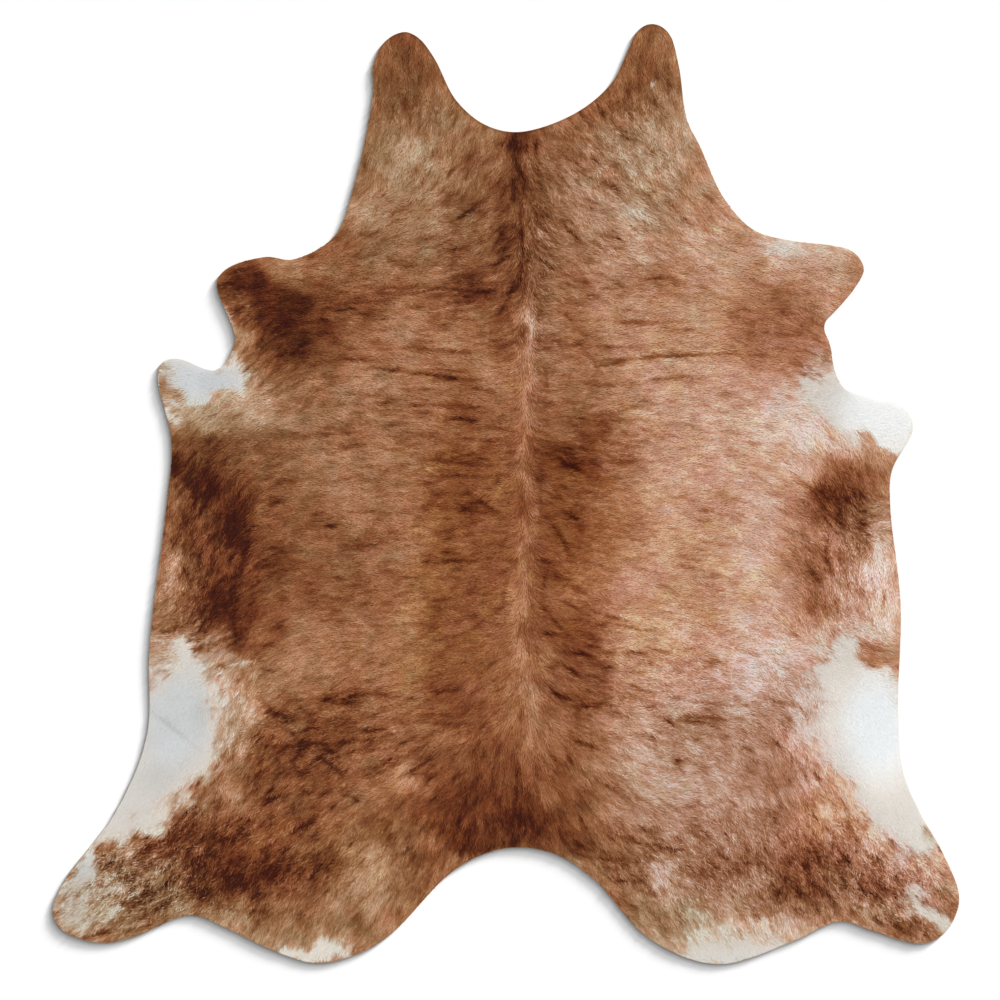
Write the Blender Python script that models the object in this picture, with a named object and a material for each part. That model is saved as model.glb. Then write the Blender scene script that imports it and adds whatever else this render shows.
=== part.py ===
"""Cowhide rug: one whole hair-on hide, lying flat, neck to +Y and hind legs to -Y.

Units are metres and +Z is up. The origin is under the middle of the hide, on the
surface that it lies on. The flesh side is flat at z = 0. The top follows the laid-down
hair: higher along the spine, thinner at the belly and rounded down to the cut edge.
"""

import math

import bmesh
import bpy
import numpy as np
from mathutils import geometry

# Driving sizes.
LEATHER = 0.0025            # the tanned skin on its own
HAIR_DEPTH = 0.0045         # the hair, laid down on the skin
EDGE_HEIGHT = 0.0035        # height of the cut edge
RIM_WIDTH = 0.012           # how far the rounded rim reaches in from the cut edge
RIM_SOFTNESS = 0.022        # distance over which the hair rises to its full depth

# How finely the faces follow the shape.
OUTLINE_STEP = 0.022
TOP_PITCH = 0.046
BOTTOM_PITCH = 0.140
CREASE_STEP = 0.014
CREASE_FINE_STEP = 0.0035   # step along a crease's line when distances to it are measured
CREASE_RIM_GAP = 0.006      # least distance of a crease's points to the rounded rim
LATTICE_CLEARANCE = 0.45    # least distance of a lattice point to its neighbours, in pitches
CURVE_STEPS = 24            # points read from each stretch of a smooth curve
KEEP_INSIDE = 1             # of the triangles made, those inside the outline are kept
MERGE_DISTANCE = 1e-7
SHARP_ANGLE = 40            # degrees; a fold of the faces past this is shaded as an edge

# The cut edge, clockwise from the neck as seen from above. Each row is one part of the
# edge and the points (x, y) that its smooth curve runs through.
OUTLINE = {
    "neck notch": [(0.030, 0.847), (0.161, 0.890), (0.248, 0.962)],
    "right neck lobe": [(0.285, 1.035), (0.309, 1.084), (0.344, 1.100), (0.381, 1.079),
                        (0.405, 1.002), (0.424, 0.876)],
    "right armpit": [(0.454, 0.815), (0.510, 0.693), (0.580, 0.618), (0.665, 0.593)],
    "right shoulder lobe": [(0.763, 0.581), (0.812, 0.567), (0.838, 0.527), (0.812, 0.475),
                            (0.779, 0.436)],
    "right shoulder notch": [(0.745, 0.394), (0.759, 0.349), (0.770, 0.288), (0.793, 0.246),
                             (0.856, 0.222)],
    "right foreleg lobe": [(0.929, 0.202), (0.953, 0.157), (0.903, 0.052)],
    "right flank": [(0.900, -0.032), (0.924, -0.259), (0.918, -0.505), (0.929, -0.648)],
    "right hind lobe": [(0.969, -0.746), (1.020, -0.835), (1.061, -0.949), (1.027, -1.027),
                        (0.973, -1.052)],
    "right hind notch": [(0.863, -1.024), (0.782, -1.000), (0.676, -1.045)],
    "right rump lobe": [(0.496, -1.100), (0.337, -1.041), (0.201, -0.896)],
    "tail notch": [(0.103, -0.838), (-0.007, -0.830), (-0.119, -0.879)],
    "left rump lobe": [(-0.260, -1.022), (-0.332, -1.070), (-0.440, -1.098), (-0.552, -1.065)],
    "left hind notch": [(-0.651, -1.017), (-0.739, -0.986), (-0.873, -1.037)],
    "left hind lobe": [(-0.950, -1.050), (-1.039, -1.020), (-1.060, -0.978), (-1.032, -0.905)],
    "left flank": [(-0.913, -0.745), (-0.840, -0.568), (-0.833, -0.353), (-0.793, -0.025),
                   (-0.782, 0.122)],
    "left foreleg lobe": [(-0.814, 0.272), (-0.803, 0.308), (-0.768, 0.316)],
    "left shoulder notch": [(-0.676, 0.290), (-0.634, 0.356)],
    "left shoulder lobe": [(-0.676, 0.494), (-0.651, 0.528), (-0.557, 0.555)],
    "left armpit": [(-0.501, 0.548), (-0.400, 0.604), (-0.353, 0.728)],
    "left neck lobe": [(-0.310, 0.941), (-0.311, 0.997), (-0.286, 1.055), (-0.239, 1.081),
                       (-0.205, 1.068), (-0.167, 1.020), (-0.117, 0.923), (-0.050, 0.865)],
}

# The line of the spine, from the neck to the tail: y and the x of the line there.
SPINE = [(0.84, 0.032), (0.60, 0.045), (0.30, 0.054), (-0.30, 0.062), (-0.60, 0.060), (-0.82, 0.040)]
SPINE_RIDGE = 0.0014        # the hair stands this much higher along the spine
SPINE_RIDGE_WIDTH = 0.030

# Broad swells where the skin is thicker or thinner: x, y, radius and change of height.
SWELLS = {
    "neck": (0.03, 0.72, 0.26, 0.0008),
    "left shoulder": (-0.46, 0.36, 0.20, 0.0006),
    "right shoulder": (0.62, 0.38, 0.20, 0.0006),
    "rump": (0.05, -0.68, 0.34, 0.0009),
    "left belly": (-0.76, -0.50, 0.20, -0.0011),
    "right belly": (0.84, -0.58, 0.20, -0.0011),
    "left foreleg": (-0.74, 0.25, 0.13, -0.0009),
    "right foreleg": (0.86, 0.16, 0.13, -0.0009),
}

# Creases pressed into the skin: width, depth and the points (x, y) of their line.
CREASE_SHARPNESS = 3.0      # how fast a crease fades towards its width
CREASES = {
    "left belly": (0.013, 0.0012, [(-0.822, -0.508), (-0.781, -0.537), (-0.735, -0.573)]),
    "left armpit, outer": (0.010, 0.0008, [(-0.682, 0.268), (-0.674, 0.254), (-0.654, 0.239)]),
    "left armpit, inner": (0.010, 0.0008, [(-0.652, 0.276), (-0.634, 0.258), (-0.600, 0.236)]),
    "right foreleg": (0.013, 0.0012, [(0.780, 0.230), (0.752, 0.219), (0.692, 0.219)]),
    "right hind, upper": (0.012, 0.0010, [(0.822, -0.768), (0.860, -0.802), (0.893, -0.832)]),
    "right hind, lower": (0.012, 0.0010, [(0.879, -0.862), (0.886, -0.916), (0.892, -0.968)]),
}

HIDE_COLOR = (0.36, 0.17, 0.075, 1.0)
HIDE_ROUGHNESS = 0.75


def smooth_curve(points, closed):
    """A Catmull-Rom curve through the points, with centripetal spacing."""
    points = np.array(points, dtype=float)
    if closed:
        control = np.vstack([points[-1], points, points[0], points[1]])
    else:
        control = np.vstack([2 * points[0] - points[1], points, 2 * points[-1] - points[-2]])
    found = []
    for a, b, c, d in zip(control, control[1:], control[2:], control[3:]):
        knots = np.cumsum([0.0] + [math.sqrt(math.dist(p, q)) for p, q in ((a, b), (b, c), (c, d))])
        t0, t1, t2, t3 = knots
        for t in np.linspace(t1, t2, CURVE_STEPS, endpoint=False):
            ab = a + (b - a) * (t - t0) / (t1 - t0)
            bc = b + (c - b) * (t - t1) / (t2 - t1)
            cd = c + (d - c) * (t - t2) / (t3 - t2)
            abc = ab + (bc - ab) * (t - t0) / (t2 - t0)
            bcd = bc + (cd - bc) * (t - t1) / (t3 - t1)
            found.append(abc + (bcd - abc) * (t - t1) / (t2 - t1))
    found.append(points[0] if closed else points[-1])
    return np.array(found)


def evenly_spaced(curve, step):
    """Points along the curve, an even distance of about one step apart, ends included."""
    lengths = np.concatenate([[0.0], np.cumsum(np.linalg.norm(np.diff(curve, axis=0), axis=1))])
    count = max(2, round(lengths[-1] / step) + 1)
    stations = np.linspace(0.0, lengths[-1], count)
    return np.column_stack([np.interp(stations, lengths, curve[:, axis]) for axis in (0, 1)])


def cut_edge():
    """The outline as an even ring of points, centred on the origin, with its shift."""
    through = [point for stretch in OUTLINE.values() for point in stretch]
    ring = evenly_spaced(smooth_curve(through, closed=True), OUTLINE_STEP)[:-1]
    shift = (ring.min(axis=0) + ring.max(axis=0)) / 2
    return ring - shift, shift


def inset(ring, distance):
    """The clockwise ring moved inwards by the distance."""
    along = np.roll(ring, -1, axis=0) - np.roll(ring, 1, axis=0)
    along /= np.linalg.norm(along, axis=1)[:, None]
    inward = np.column_stack([along[:, 1], -along[:, 0]])
    return ring + inward * distance


def inside(points, ring):
    """Which of the points lie inside the ring."""
    found = np.zeros(len(points), dtype=bool)
    for (x0, y0), (x1, y1) in zip(ring, np.roll(ring, -1, axis=0)):
        crosses = (y0 > points[:, 1]) != (y1 > points[:, 1])
        if crosses.any():
            x = x0 + (points[:, 1] - y0) * (x1 - x0) / (y1 - y0)
            found ^= crosses & (points[:, 0] < x)
    return found


def distances(points, others):
    """Each point's distance to the nearest of the others."""
    return np.array([np.linalg.norm(others - point, axis=1).min() for point in points])


def lattice(ring, pitch, keep_clear_of):
    """A triangular lattice inside the ring, clear of it and of the points given."""
    low = ring.min(axis=0)
    high = ring.max(axis=0)
    rows = np.arange(low[1], high[1], pitch * math.sqrt(3) / 2)
    columns = np.arange(low[0], high[0], pitch)
    points = np.array([(x + pitch / 2 * (row % 2), y) for row, y in enumerate(rows) for x in columns])
    points = points[inside(points, ring)]
    clear = distances(points, np.vstack([ring, keep_clear_of])) > pitch * LATTICE_CLEARANCE
    return points[clear]


def crease_points(ring, shift):
    """Points along the middle and both shoulders of every crease, inside the ring."""
    found = []
    for width, _, line in CREASES.values():
        middle = evenly_spaced(smooth_curve(line, closed=False), CREASE_STEP) - shift
        along = np.gradient(middle, axis=0)
        along /= np.linalg.norm(along, axis=1)[:, None]
        across = np.column_stack([-along[:, 1], along[:, 0]]) * width
        found += [middle, middle + across, middle - across]
    points = np.vstack(found)
    points = points[inside(points, ring)]
    return points[distances(points, ring) > CREASE_RIM_GAP]


def top_heights(points, ring, shift):
    """The height of the hair's top over the floor at each point."""
    x, y = (points + shift).T
    height = np.full(len(points), LEATHER + HAIR_DEPTH)
    spine_y, spine_x = np.array(sorted(SPINE)).T
    off_spine = x - np.interp(y, spine_y, spine_x)
    height += SPINE_RIDGE * np.exp(-((off_spine / SPINE_RIDGE_WIDTH) ** 2))
    for centre_x, centre_y, radius, change in SWELLS.values():
        away = np.hypot(x - centre_x, y - centre_y) / radius
        height += change * np.exp(-(away**2))
    for width, depth, line in CREASES.values():
        middle = evenly_spaced(smooth_curve(line, closed=False), CREASE_FINE_STEP) - shift
        away = distances(points, middle) / width
        height -= depth * np.exp(-CREASE_SHARPNESS * away**2)
    rise = 1 - np.exp(-distances(points, ring) / RIM_SOFTNESS)
    return EDGE_HEIGHT + (height - EDGE_HEIGHT) * rise


def triangles(ring, points):
    """The area inside the ring, cut into triangles through the ring and the points."""
    flat = np.vstack([ring, points])
    loop = list(range(len(ring)))
    made = geometry.delaunay_2d_cdt([tuple(p) for p in flat], [], [loop], KEEP_INSIDE, MERGE_DISTANCE)
    coordinates, _, faces, sources = made[:4]
    assert len(coordinates) == len(flat), "two points of the hide fell together"
    first = [source[0] for source in sources]
    return flat, [[first[i] for i in face] for face in faces]


def hide_mesh():
    """The closed hide: flat underside, low cut edge, rounded rim and uneven hair top."""
    edge, shift = cut_edge()
    rim = inset(edge, RIM_WIDTH)
    creases = crease_points(rim, shift)
    fine = lattice(rim, TOP_PITCH, creases)
    coarse = lattice(edge, BOTTOM_PITCH, np.empty((0, 2)))
    top, top_faces = triangles(rim, np.vstack([creases, fine]))
    bottom, bottom_faces = triangles(edge, coarse)
    top_z = top_heights(top, edge, shift)

    mesh = bmesh.new()
    on_top = [mesh.verts.new((x, y, z)) for (x, y), z in zip(top, top_z)]
    on_floor = [mesh.verts.new((x, y, 0.0)) for x, y in bottom]
    on_edge = [mesh.verts.new((x, y, EDGE_HEIGHT)) for x, y in edge]
    for face in top_faces:
        mesh.faces.new([on_top[i] for i in face])
    for face in bottom_faces:
        mesh.faces.new([on_floor[i] for i in reversed(face)])
    count = len(edge)
    for here in range(count):
        after = (here + 1) % count
        mesh.faces.new([on_floor[here], on_edge[here], on_edge[after], on_floor[after]])
        mesh.faces.new([on_edge[here], on_top[here], on_top[after], on_edge[after]])
    bmesh.ops.recalc_face_normals(mesh, faces=mesh.faces)
    bmesh.ops.triangulate(mesh, faces=mesh.faces)
    data = bpy.data.meshes.new("hide")
    mesh.to_mesh(data)
    mesh.free()
    return data


def hide_material():
    """Short brown hair."""
    material = bpy.data.materials.new("hide_hair")
    material.use_nodes = True
    surface = material.node_tree.nodes["Principled BSDF"]
    surface.inputs["Base Color"].default_value = HIDE_COLOR
    surface.inputs["Roughness"].default_value = HIDE_ROUGHNESS
    surface.inputs["Metallic"].default_value = 0.0
    return material


def main():
    for old in list(bpy.data.objects):
        bpy.data.objects.remove(old, do_unlink=True)
    data = hide_mesh()
    data.materials.append(hide_material())
    data.shade_smooth()
    data.set_sharp_from_angle(angle=math.radians(SHARP_ANGLE))
    hide = bpy.data.objects.new("hide", data)
    bpy.context.scene.collection.objects.link(hide)


main()
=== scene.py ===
import math

import bmesh
import bpy
import numpy as np
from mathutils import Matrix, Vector, geometry
from mathutils.bvhtree import BVHTree
from mathutils.kdtree import KDTree


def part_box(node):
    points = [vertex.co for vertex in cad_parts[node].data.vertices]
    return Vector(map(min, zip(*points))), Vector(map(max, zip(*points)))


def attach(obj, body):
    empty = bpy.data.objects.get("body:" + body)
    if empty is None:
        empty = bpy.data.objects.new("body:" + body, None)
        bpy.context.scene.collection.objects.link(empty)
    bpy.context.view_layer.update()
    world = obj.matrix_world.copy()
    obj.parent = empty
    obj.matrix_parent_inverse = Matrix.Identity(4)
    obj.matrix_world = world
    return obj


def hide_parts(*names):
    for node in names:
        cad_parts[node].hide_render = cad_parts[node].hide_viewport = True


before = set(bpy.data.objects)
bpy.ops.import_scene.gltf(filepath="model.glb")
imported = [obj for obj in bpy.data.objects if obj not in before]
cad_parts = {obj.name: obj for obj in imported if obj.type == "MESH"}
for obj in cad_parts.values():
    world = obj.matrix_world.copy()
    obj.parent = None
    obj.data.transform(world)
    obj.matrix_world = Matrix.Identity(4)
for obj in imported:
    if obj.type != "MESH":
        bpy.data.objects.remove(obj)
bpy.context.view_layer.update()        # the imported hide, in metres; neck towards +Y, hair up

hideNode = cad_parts["hide"]
hideLow, hideHigh = (np.array(corner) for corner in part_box("hide"))


view = {
    "centre": (-0.014, -0.0135),   # the point of the floor in the middle of the picture
    "height": 6.5,
    "width": 2.34,                 # metres of floor across the picture
    "sensor": 36.0,
    "farthest": 50.0,
}


def addObject(name, data):
    made = bpy.data.objects.new(name, data)
    bpy.context.scene.collection.objects.link(made)
    return made


def placeCamera():
    data = bpy.data.cameras.new("camera")
    data.sensor_width = view["sensor"]
    data.lens = view["sensor"] * view["height"] / view["width"]
    data.clip_end = view["farthest"]
    camera = addObject("camera", data)
    camera.location = (*view["centre"], view["height"])
    bpy.context.scene.camera = camera


placeCamera()
print("camera placed")


maps = {
    "margin": 0.06,          # the maps reach this far past the hide
    "shapeStep": 0.005,      # cell of the maps of heights and distances
    "coatStep": 0.0025,      # cell of the maps of the coat's colour and flow
    "rimCells": 1.001,       # a point that is read stays this many cells inside the far rim
    "lookFrom": 1.0,         # heights are read from this far above the hide
    "tiny": 1e-9,            # keeps a size that is divided by over 0
}


def gridPoints(step):
    low, high = hideLow - maps["margin"], hideHigh + maps["margin"]
    return np.meshgrid(np.arange(low[0], high[0], step), np.arange(low[1], high[1], step))


def gridOf(values, step):
    return {"low": hideLow - maps["margin"], "step": step, "values": values}


def readGrid(grid, x, y):
    # value of the map at each point, between the four cells round it
    rows, columns = grid["values"].shape
    column = np.clip((x - grid["low"][0]) / grid["step"], 0, columns - maps["rimCells"])
    row = np.clip((y - grid["low"][1]) / grid["step"], 0, rows - maps["rimCells"])
    left, below = column.astype(int), row.astype(int)
    u, v = column - left, row - below
    values = grid["values"]
    near = values[below, left] * (1 - u) + values[below, left + 1] * u
    far = values[below + 1, left] * (1 - u) + values[below + 1, left + 1] * u
    return near * (1 - v) + far * v


def smoothNoise(shape, cells, seed):
    # soft random map, blurred over this many cells, with mean 0 and spread 1
    random = np.random.default_rng(seed)
    waves = np.fft.rfft2(random.standard_normal(shape))
    rowWaves = np.fft.fftfreq(shape[0])[:, None]
    columnWaves = np.fft.rfftfreq(shape[1])[None, :]
    waves *= np.exp(-2 * (math.pi * cells) ** 2 * (rowWaves**2 + columnWaves**2))
    found = np.fft.irfft2(waves, shape)
    return (found - found.mean()) / found.std()


def staggeredPoints(pitch):
    # rows of points over the hide, every other row moved by half a pitch
    rows = np.arange(hideLow[1], hideHigh[1], pitch * math.sqrt(3) / 2)
    columns = np.arange(hideLow[0], hideHigh[0], pitch)
    x, y = np.meshgrid(columns, rows)
    return x + pitch / 2 * (np.arange(len(rows)) % 2)[:, None], y


def headed(angle):
    # unit vector of this angle, in radians from +X towards +Y
    return np.array([math.cos(angle), math.sin(angle)])


edge = {
    "mergeDistance": 0.00002,
    "facesDown": -0.99,      # a face whose normal's height is below this is the flesh side
    "step": 0.001,           # spacing of the points that distances are measured to
    "skinStep": 0.005,       # spacing of the skin's own points along the edge
    "perStretch": 16,        # points that a smooth line gets between two given ones
}


def readCutEdge():
    # the ring where the flat flesh side meets the cut edge, in order
    mesh = bmesh.new()
    mesh.from_mesh(hideNode.data)
    bmesh.ops.remove_doubles(mesh, verts=mesh.verts, dist=edge["mergeDistance"])
    mesh.normal_update()
    beside = {}
    for side in mesh.edges:
        down = [face.normal.z < edge["facesDown"] for face in side.link_faces]
        if sum(down) == 1:
            for one, other in (side.verts, reversed(side.verts)):
                beside.setdefault(one, []).append(other)
    start = next(iter(beside))
    ring, before = [start], None
    while len(ring) < len(beside):
        here = ring[-1]
        after = next(vert for vert in beside[here] if vert is not before)
        before = here
        ring.append(after)
    points = np.array([vert.co[:2] for vert in ring])
    mesh.free()
    x, y = points.T
    turned = np.sum(x * np.roll(y, -1) - y * np.roll(x, -1))
    return points if turned > 0 else points[::-1]    # anticlockwise


def smoothLine(points, step, closed=False):
    # evenly spaced points on a smooth curve through the given ones
    points = np.array(points, float)
    if closed:
        control = np.vstack([points[-1], points, points[0], points[1]])
    else:
        control = np.vstack([2 * points[0] - points[1], points, 2 * points[-1] - points[-2]])
    t = np.linspace(0, 1, edge["perStretch"], endpoint=False)[:, None]
    stretches = []
    for a, b, c, d in zip(control, control[1:], control[2:], control[3:]):
        stretches.append(0.5 * (2 * b + (c - a) * t + (2 * a - 5 * b + 4 * c - d) * t**2
                                + (3 * b - a - 3 * c + d) * t**3))
    line = np.vstack(stretches + [points[:1] if closed else points[-1:]])
    lengths = np.concatenate([[0], np.cumsum(np.linalg.norm(np.diff(line, axis=0), axis=1))])
    stations = np.linspace(0, lengths[-1], max(2, round(lengths[-1] / step) + 1))
    found = np.column_stack([np.interp(stations, lengths, line[:, axis]) for axis in (0, 1)])
    return found[:-1] if closed else found


def insideRing(x, y, ring):
    # which points of a grid lie inside the ring, row by row
    found = np.zeros(x.shape, bool)
    x0, y0 = ring.T
    x1, y1 = np.roll(ring, -1, axis=0).T
    for row, height in enumerate(y[:, 0]):
        crossed = (y0 > height) != (y1 > height)
        at = x0[crossed] + (height - y0[crossed]) * (x1 - x0)[crossed] / (y1 - y0)[crossed]
        found[row] = np.sum(x[row][:, None] > at[None, :], axis=1) % 2 == 1
    return found


def edgeDistances(ring):
    # distance to the cut edge, below 0 outside the hide
    x, y = gridPoints(maps["shapeStep"])
    tree = KDTree(len(ring))
    for index, point in enumerate(ring):
        tree.insert((*point, 0), index)
    tree.balance()
    away = np.array([tree.find((px, py, 0))[2] for px, py in zip(x.ravel(), y.ravel())])
    away = away.reshape(x.shape)
    return gridOf(np.where(insideRing(x, y, ring), away, -away), maps["shapeStep"])


def hairTops():
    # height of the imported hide's top, which the tips of the hair reach
    x, y = gridPoints(maps["shapeStep"])
    mesh = bmesh.new()
    mesh.from_mesh(hideNode.data)
    tree = BVHTree.FromBMesh(mesh)
    mesh.free()
    down, above = Vector((0, 0, -1)), hideHigh[2] + maps["lookFrom"]
    heights = np.zeros(x.size)
    for index, (px, py) in enumerate(zip(x.ravel(), y.ravel())):
        hit = tree.ray_cast(Vector((px, py, above)), down)[0]
        heights[index] = hit.z if hit else 0
    return gridOf(heights.reshape(x.shape), maps["shapeStep"])


cutEdge = readCutEdge()
edgeAway = edgeDistances(smoothLine(cutEdge, edge["step"], closed=True))
hairTop = hairTops()
print("cut edge and heights read:", len(cutEdge), "points")


skin = {
    "thickness": 0.0022,
    "edgeTop": 0.0035,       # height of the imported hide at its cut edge
    "follow": 0.35,          # how much of the swell is the skin's own, the rest is hair
    "creaseSteps": 3,        # points of a crease's line to each of its half-widths
    "creaseReach": 3,        # half-widths that a crease is felt over
    "rimRound": 0.0004,      # rounding of the cut edge
    "pitch": 0.012,          # spacing of the points inside
    "rimGap": 0.45,          # pitches that they keep off the cut edge
    "insideOnly": 1,         # the way the top is filled with faces: only inside the edge
    "fillDistance": 1e-7,    # points closer than this become one there
    "sharpFrom": 50,         # degrees between faces that stay a sharp edge
    "flatSize": (2.12, 2.20),
    "flatArea": 3.06,
}

# Creases: half-width, depth (below 0 a ridge) and the points (x, y) of the line.
creases = {
    "left belly": (0.007, 0.0006, [(-0.822, -0.508), (-0.781, -0.537), (-0.735, -0.573)]),
    "left armpit, outer": (0.005, 0.0004, [(-0.682, 0.268), (-0.674, 0.254), (-0.654, 0.239)]),
    "left armpit, inner": (0.005, 0.0004, [(-0.652, 0.276), (-0.634, 0.258), (-0.600, 0.236)]),
    "right foreleg": (0.007, 0.0006, [(0.780, 0.230), (0.752, 0.219), (0.692, 0.219)]),
    "right hind, upper": (0.006, 0.0005, [(0.822, -0.768), (0.860, -0.802), (0.893, -0.832)]),
    "right hind, lower": (0.006, 0.0005, [(0.879, -0.862), (0.886, -0.916), (0.892, -0.968)]),
}


def creaseRelief(x, y):
    found = np.zeros(np.shape(x))
    for width, depth, line in creases.values():
        points = smoothLine(line, width / skin["creaseSteps"])
        reach = skin["creaseReach"] * width
        low, high = points.min(axis=0) - reach, points.max(axis=0) + reach
        near = (x > low[0]) & (x < high[0]) & (y > low[1]) & (y < high[1])
        away = np.min(np.hypot(x[near][:, None] - points[:, 0], y[near][:, None] - points[:, 1]), axis=1)
        found[near] -= depth * np.exp(-((away / width) ** 2))
    return found


def skinTop(x, y):
    swell = readGrid(hairTop, x, y) - skin["edgeTop"]
    return skin["thickness"] + skin["follow"] * np.clip(swell, 0, None) + creaseRelief(x, y)


# The line of the spine, from tail to neck: y, the line's x there and the tone that it adds; where that tone
# is above 0 it is partly painted sheen on the ridge where the hair meets.
spineLine = [
    (-0.82, 0.035, -4), (-0.67, 0.045, -2), (-0.58, 0.049, 8), (-0.48, 0.052, 20), (-0.34, 0.040, 18),
    (-0.22, 0.042, 14), (-0.13, 0.044, 12), (-0.02, 0.044, 19), (0.10, 0.044, 12), (0.22, 0.049, 14),
    (0.34, 0.054, 20), (0.40, 0.056, 36), (0.44, 0.054, 10), (0.52, 0.044, -20), (0.60, 0.040, -26),
    (0.66, 0.036, -20), (0.78, 0.030, -30), (0.84, 0.027, -16),
]
spine = {
    "y": [row[0] for row in spineLine],
    "x": [row[1] for row in spineLine],
    "tone": [row[2] for row in spineLine],
    "width": 0.012,
    "sideAway": 0.027,       # a dark line runs this far to each side of the spine
    "sideWidth": 0.010,
    "sideTone": -9,
}

flow = {
    "reach": 0.033,          # how close a guide has to be before it rules alone
    "falloff": 1.6,
    "spineWidth": 0.015,     # within this of the spine the hair runs to the tail
    "coarse": 4,             # the guides are read on a map whose cells are this much larger
}

# Guides: x, y and the way the hair lies there, in degrees from +X towards +Y.
flowGuides = {
    "left neck": [(-0.24, 1.05, -92), (-0.235, 0.925, -95), (-0.295, 0.78, -105), (-0.18, 0.805, -110),
        (-0.085, 0.78, -122), (-0.365, 0.64, -140), (-0.25, 0.63, -152), (-0.13, 0.63, -158),
        (-0.035, 0.735, -125), (-0.025, 0.595, -148), (-0.25, 0.535, -172), (-0.11, 0.535, -170)],
    "right neck": [(0.335, 1.05, -88), (0.335, 0.925, -80), (0.405, 0.805, -68), (0.265, 0.805, -55),
        (0.15, 0.78, -42), (0.1, 0.71, -50), (0.455, 0.64, -42), (0.315, 0.64, -32), (0.175, 0.64, -34),
        (0.5, 0.535, -15), (0.125, 0.57, -25), (0.29, 0.525, -10)],
    "left shoulder": [(-0.6, 0.49, -168), (-0.48, 0.455, -172), (-0.62, 0.35, -120), (-0.53, 0.29, -150),
        (-0.365, 0.455, -176), (-0.25, 0.43, -178), (-0.13, 0.455, -172), (-0.035, 0.455, -160)],
    "right shoulder": [(0.64, 0.535, -10), (0.76, 0.525, -25), (0.55, 0.43, -6), (0.43, 0.41, -2),
        (0.315, 0.43, -5), (0.195, 0.43, -4), (0.665, 0.35, -15), (0.735, 0.41, -35), (0.125, 0.385, -8),
        (0.22, 0.35, -2)],
    "left foreleg": [(-0.62, 0.28, -135), (-0.775, 0.255, 175), (-0.705, 0.22, -120), (-0.62, 0.195, -160)],
    "right foreleg": [(0.78, 0.265, -30), (0.875, 0.185, 0), (0.76, 0.15, -50), (0.85, 0.105, -70),
        (0.64, 0.22, -10)],
    "left side": [(-0.365, 0.315, 174), (-0.2, 0.315, 173), (-0.06, 0.3, 178), (-0.365, 0.125, 175),
        (-0.18, 0.125, 175), (-0.035, 0.125, -178), (-0.365, -0.085, 178), (-0.18, -0.085, -180),
        (-0.035, -0.085, -174), (-0.365, -0.295, -178), (-0.18, -0.295, -177), (-0.035, -0.27, -172)],
    "right side": [(0.15, 0.265, -4), (0.315, 0.245, -2), (0.475, 0.245, -4), (0.62, 0.16, -8),
        (0.14, 0.105, -5), (0.315, 0.08, -2), (0.5, 0.035, -3), (0.14, -0.085, -7), (0.335, -0.13, -3),
        (0.5, -0.155, -4), (0.14, -0.27, -10), (0.315, -0.32, -5), (0.5, -0.32, -8), (0.655, -0.015, -20),
        (0.64, -0.2, -18), (0.655, -0.365, -22)],
    "left flank": [(-0.46, 0.15, 178), (-0.445, 0.045, 178), (-0.425, -0.06, -179), (-0.425, -0.165, -178),
        (-0.55, 0.105, -174), (-0.67, 0.125, -150), (-0.74, 0.08, -125), (-0.765, -0.015, -112),
        (-0.645, -0.015, -110), (-0.515, -0.06, -170), (-0.785, -0.155, -110), (-0.715, -0.155, -105),
        (-0.62, -0.175, -130), (-0.8, -0.27, -140), (-0.73, -0.27, -120), (-0.8, -0.33, -172),
        (-0.74, -0.355, -165), (-0.48, -0.245, -172), (-0.575, -0.32, -150), (-0.645, -0.34, -140)],
    "right flank": [(0.735, 0.055, -60), (0.83, 0.035, -75), (0.76, -0.06, -62), (0.865, -0.05, 10),
        (0.71, -0.155, -45), (0.78, -0.2, -80), (0.865, -0.175, -95), (0.885, -0.27, -100),
        (0.83, -0.32, -30), (0.875, -0.375, -8), (0.735, -0.27, -75)],
    "left belly": [(-0.62, -0.46, -110), (-0.66, -0.55, -108), (-0.765, -0.48, -130), (-0.81, -0.62, -120),
        (-0.715, -0.69, -125), (-0.55, -0.46, -155)],
    "right belly": [(0.71, -0.53, -75), (0.805, -0.505, -60), (0.76, -0.645, -60), (0.85, -0.67, -50),
        (0.665, -0.53, -35)],
    "left loin": [(-0.48, -0.53, -168), (-0.32, -0.505, -170), (-0.18, -0.505, -165), (-0.035, -0.48, -145),
        (-0.48, -0.67, -145), (-0.32, -0.67, -152), (-0.18, -0.67, -142)],
    "right loin": [(0.125, -0.48, -35), (0.245, -0.48, -15), (0.385, -0.48, -6), (0.525, -0.48, -8),
        (0.125, -0.67, -55), (0.265, -0.67, -30), (0.405, -0.67, -12), (0.55, -0.645, -35),
        (0.665, -0.645, -65)],
    "left thigh": [(-0.62, -0.76, -130), (-0.715, -0.83, -128), (-0.55, -0.855, -135), (-0.41, -0.83, -138),
        (-0.27, -0.81, -130), (-0.575, -0.975, -120), (-0.46, -1.045, -115), (-0.32, -0.95, -120),
        (-0.2, -0.855, -115)],
    "right thigh": [(0.175, -0.81, -50), (0.315, -0.83, -40), (0.455, -0.83, -38), (0.595, -0.83, -58),
        (0.71, -0.83, -62), (0.805, -0.83, -58), (0.805, -0.95, -55), (0.69, -0.95, -65),
        (0.55, -0.975, -60), (0.405, -0.975, -55), (0.315, -0.95, -50), (0.55, -1.055, -50)],
    "left leg": [(-0.835, -0.83, -140), (-0.95, -0.88, -130), (-0.995, -0.95, -140),
        (-0.905, -0.995, -150)],
    "right leg": [(0.9, -0.88, -50), (0.97, -0.905, -45), (1.015, -0.95, -50), (0.92, -0.995, -40)],
    "tail": [(-0.015, -0.67, -100), (-0.035, -0.785, -95), (0.08, -0.785, -75), (-0.11, -0.785, -110)],
}


def spineAway(x, y):
    return x - np.interp(y, spine["y"], spine["x"])


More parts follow.
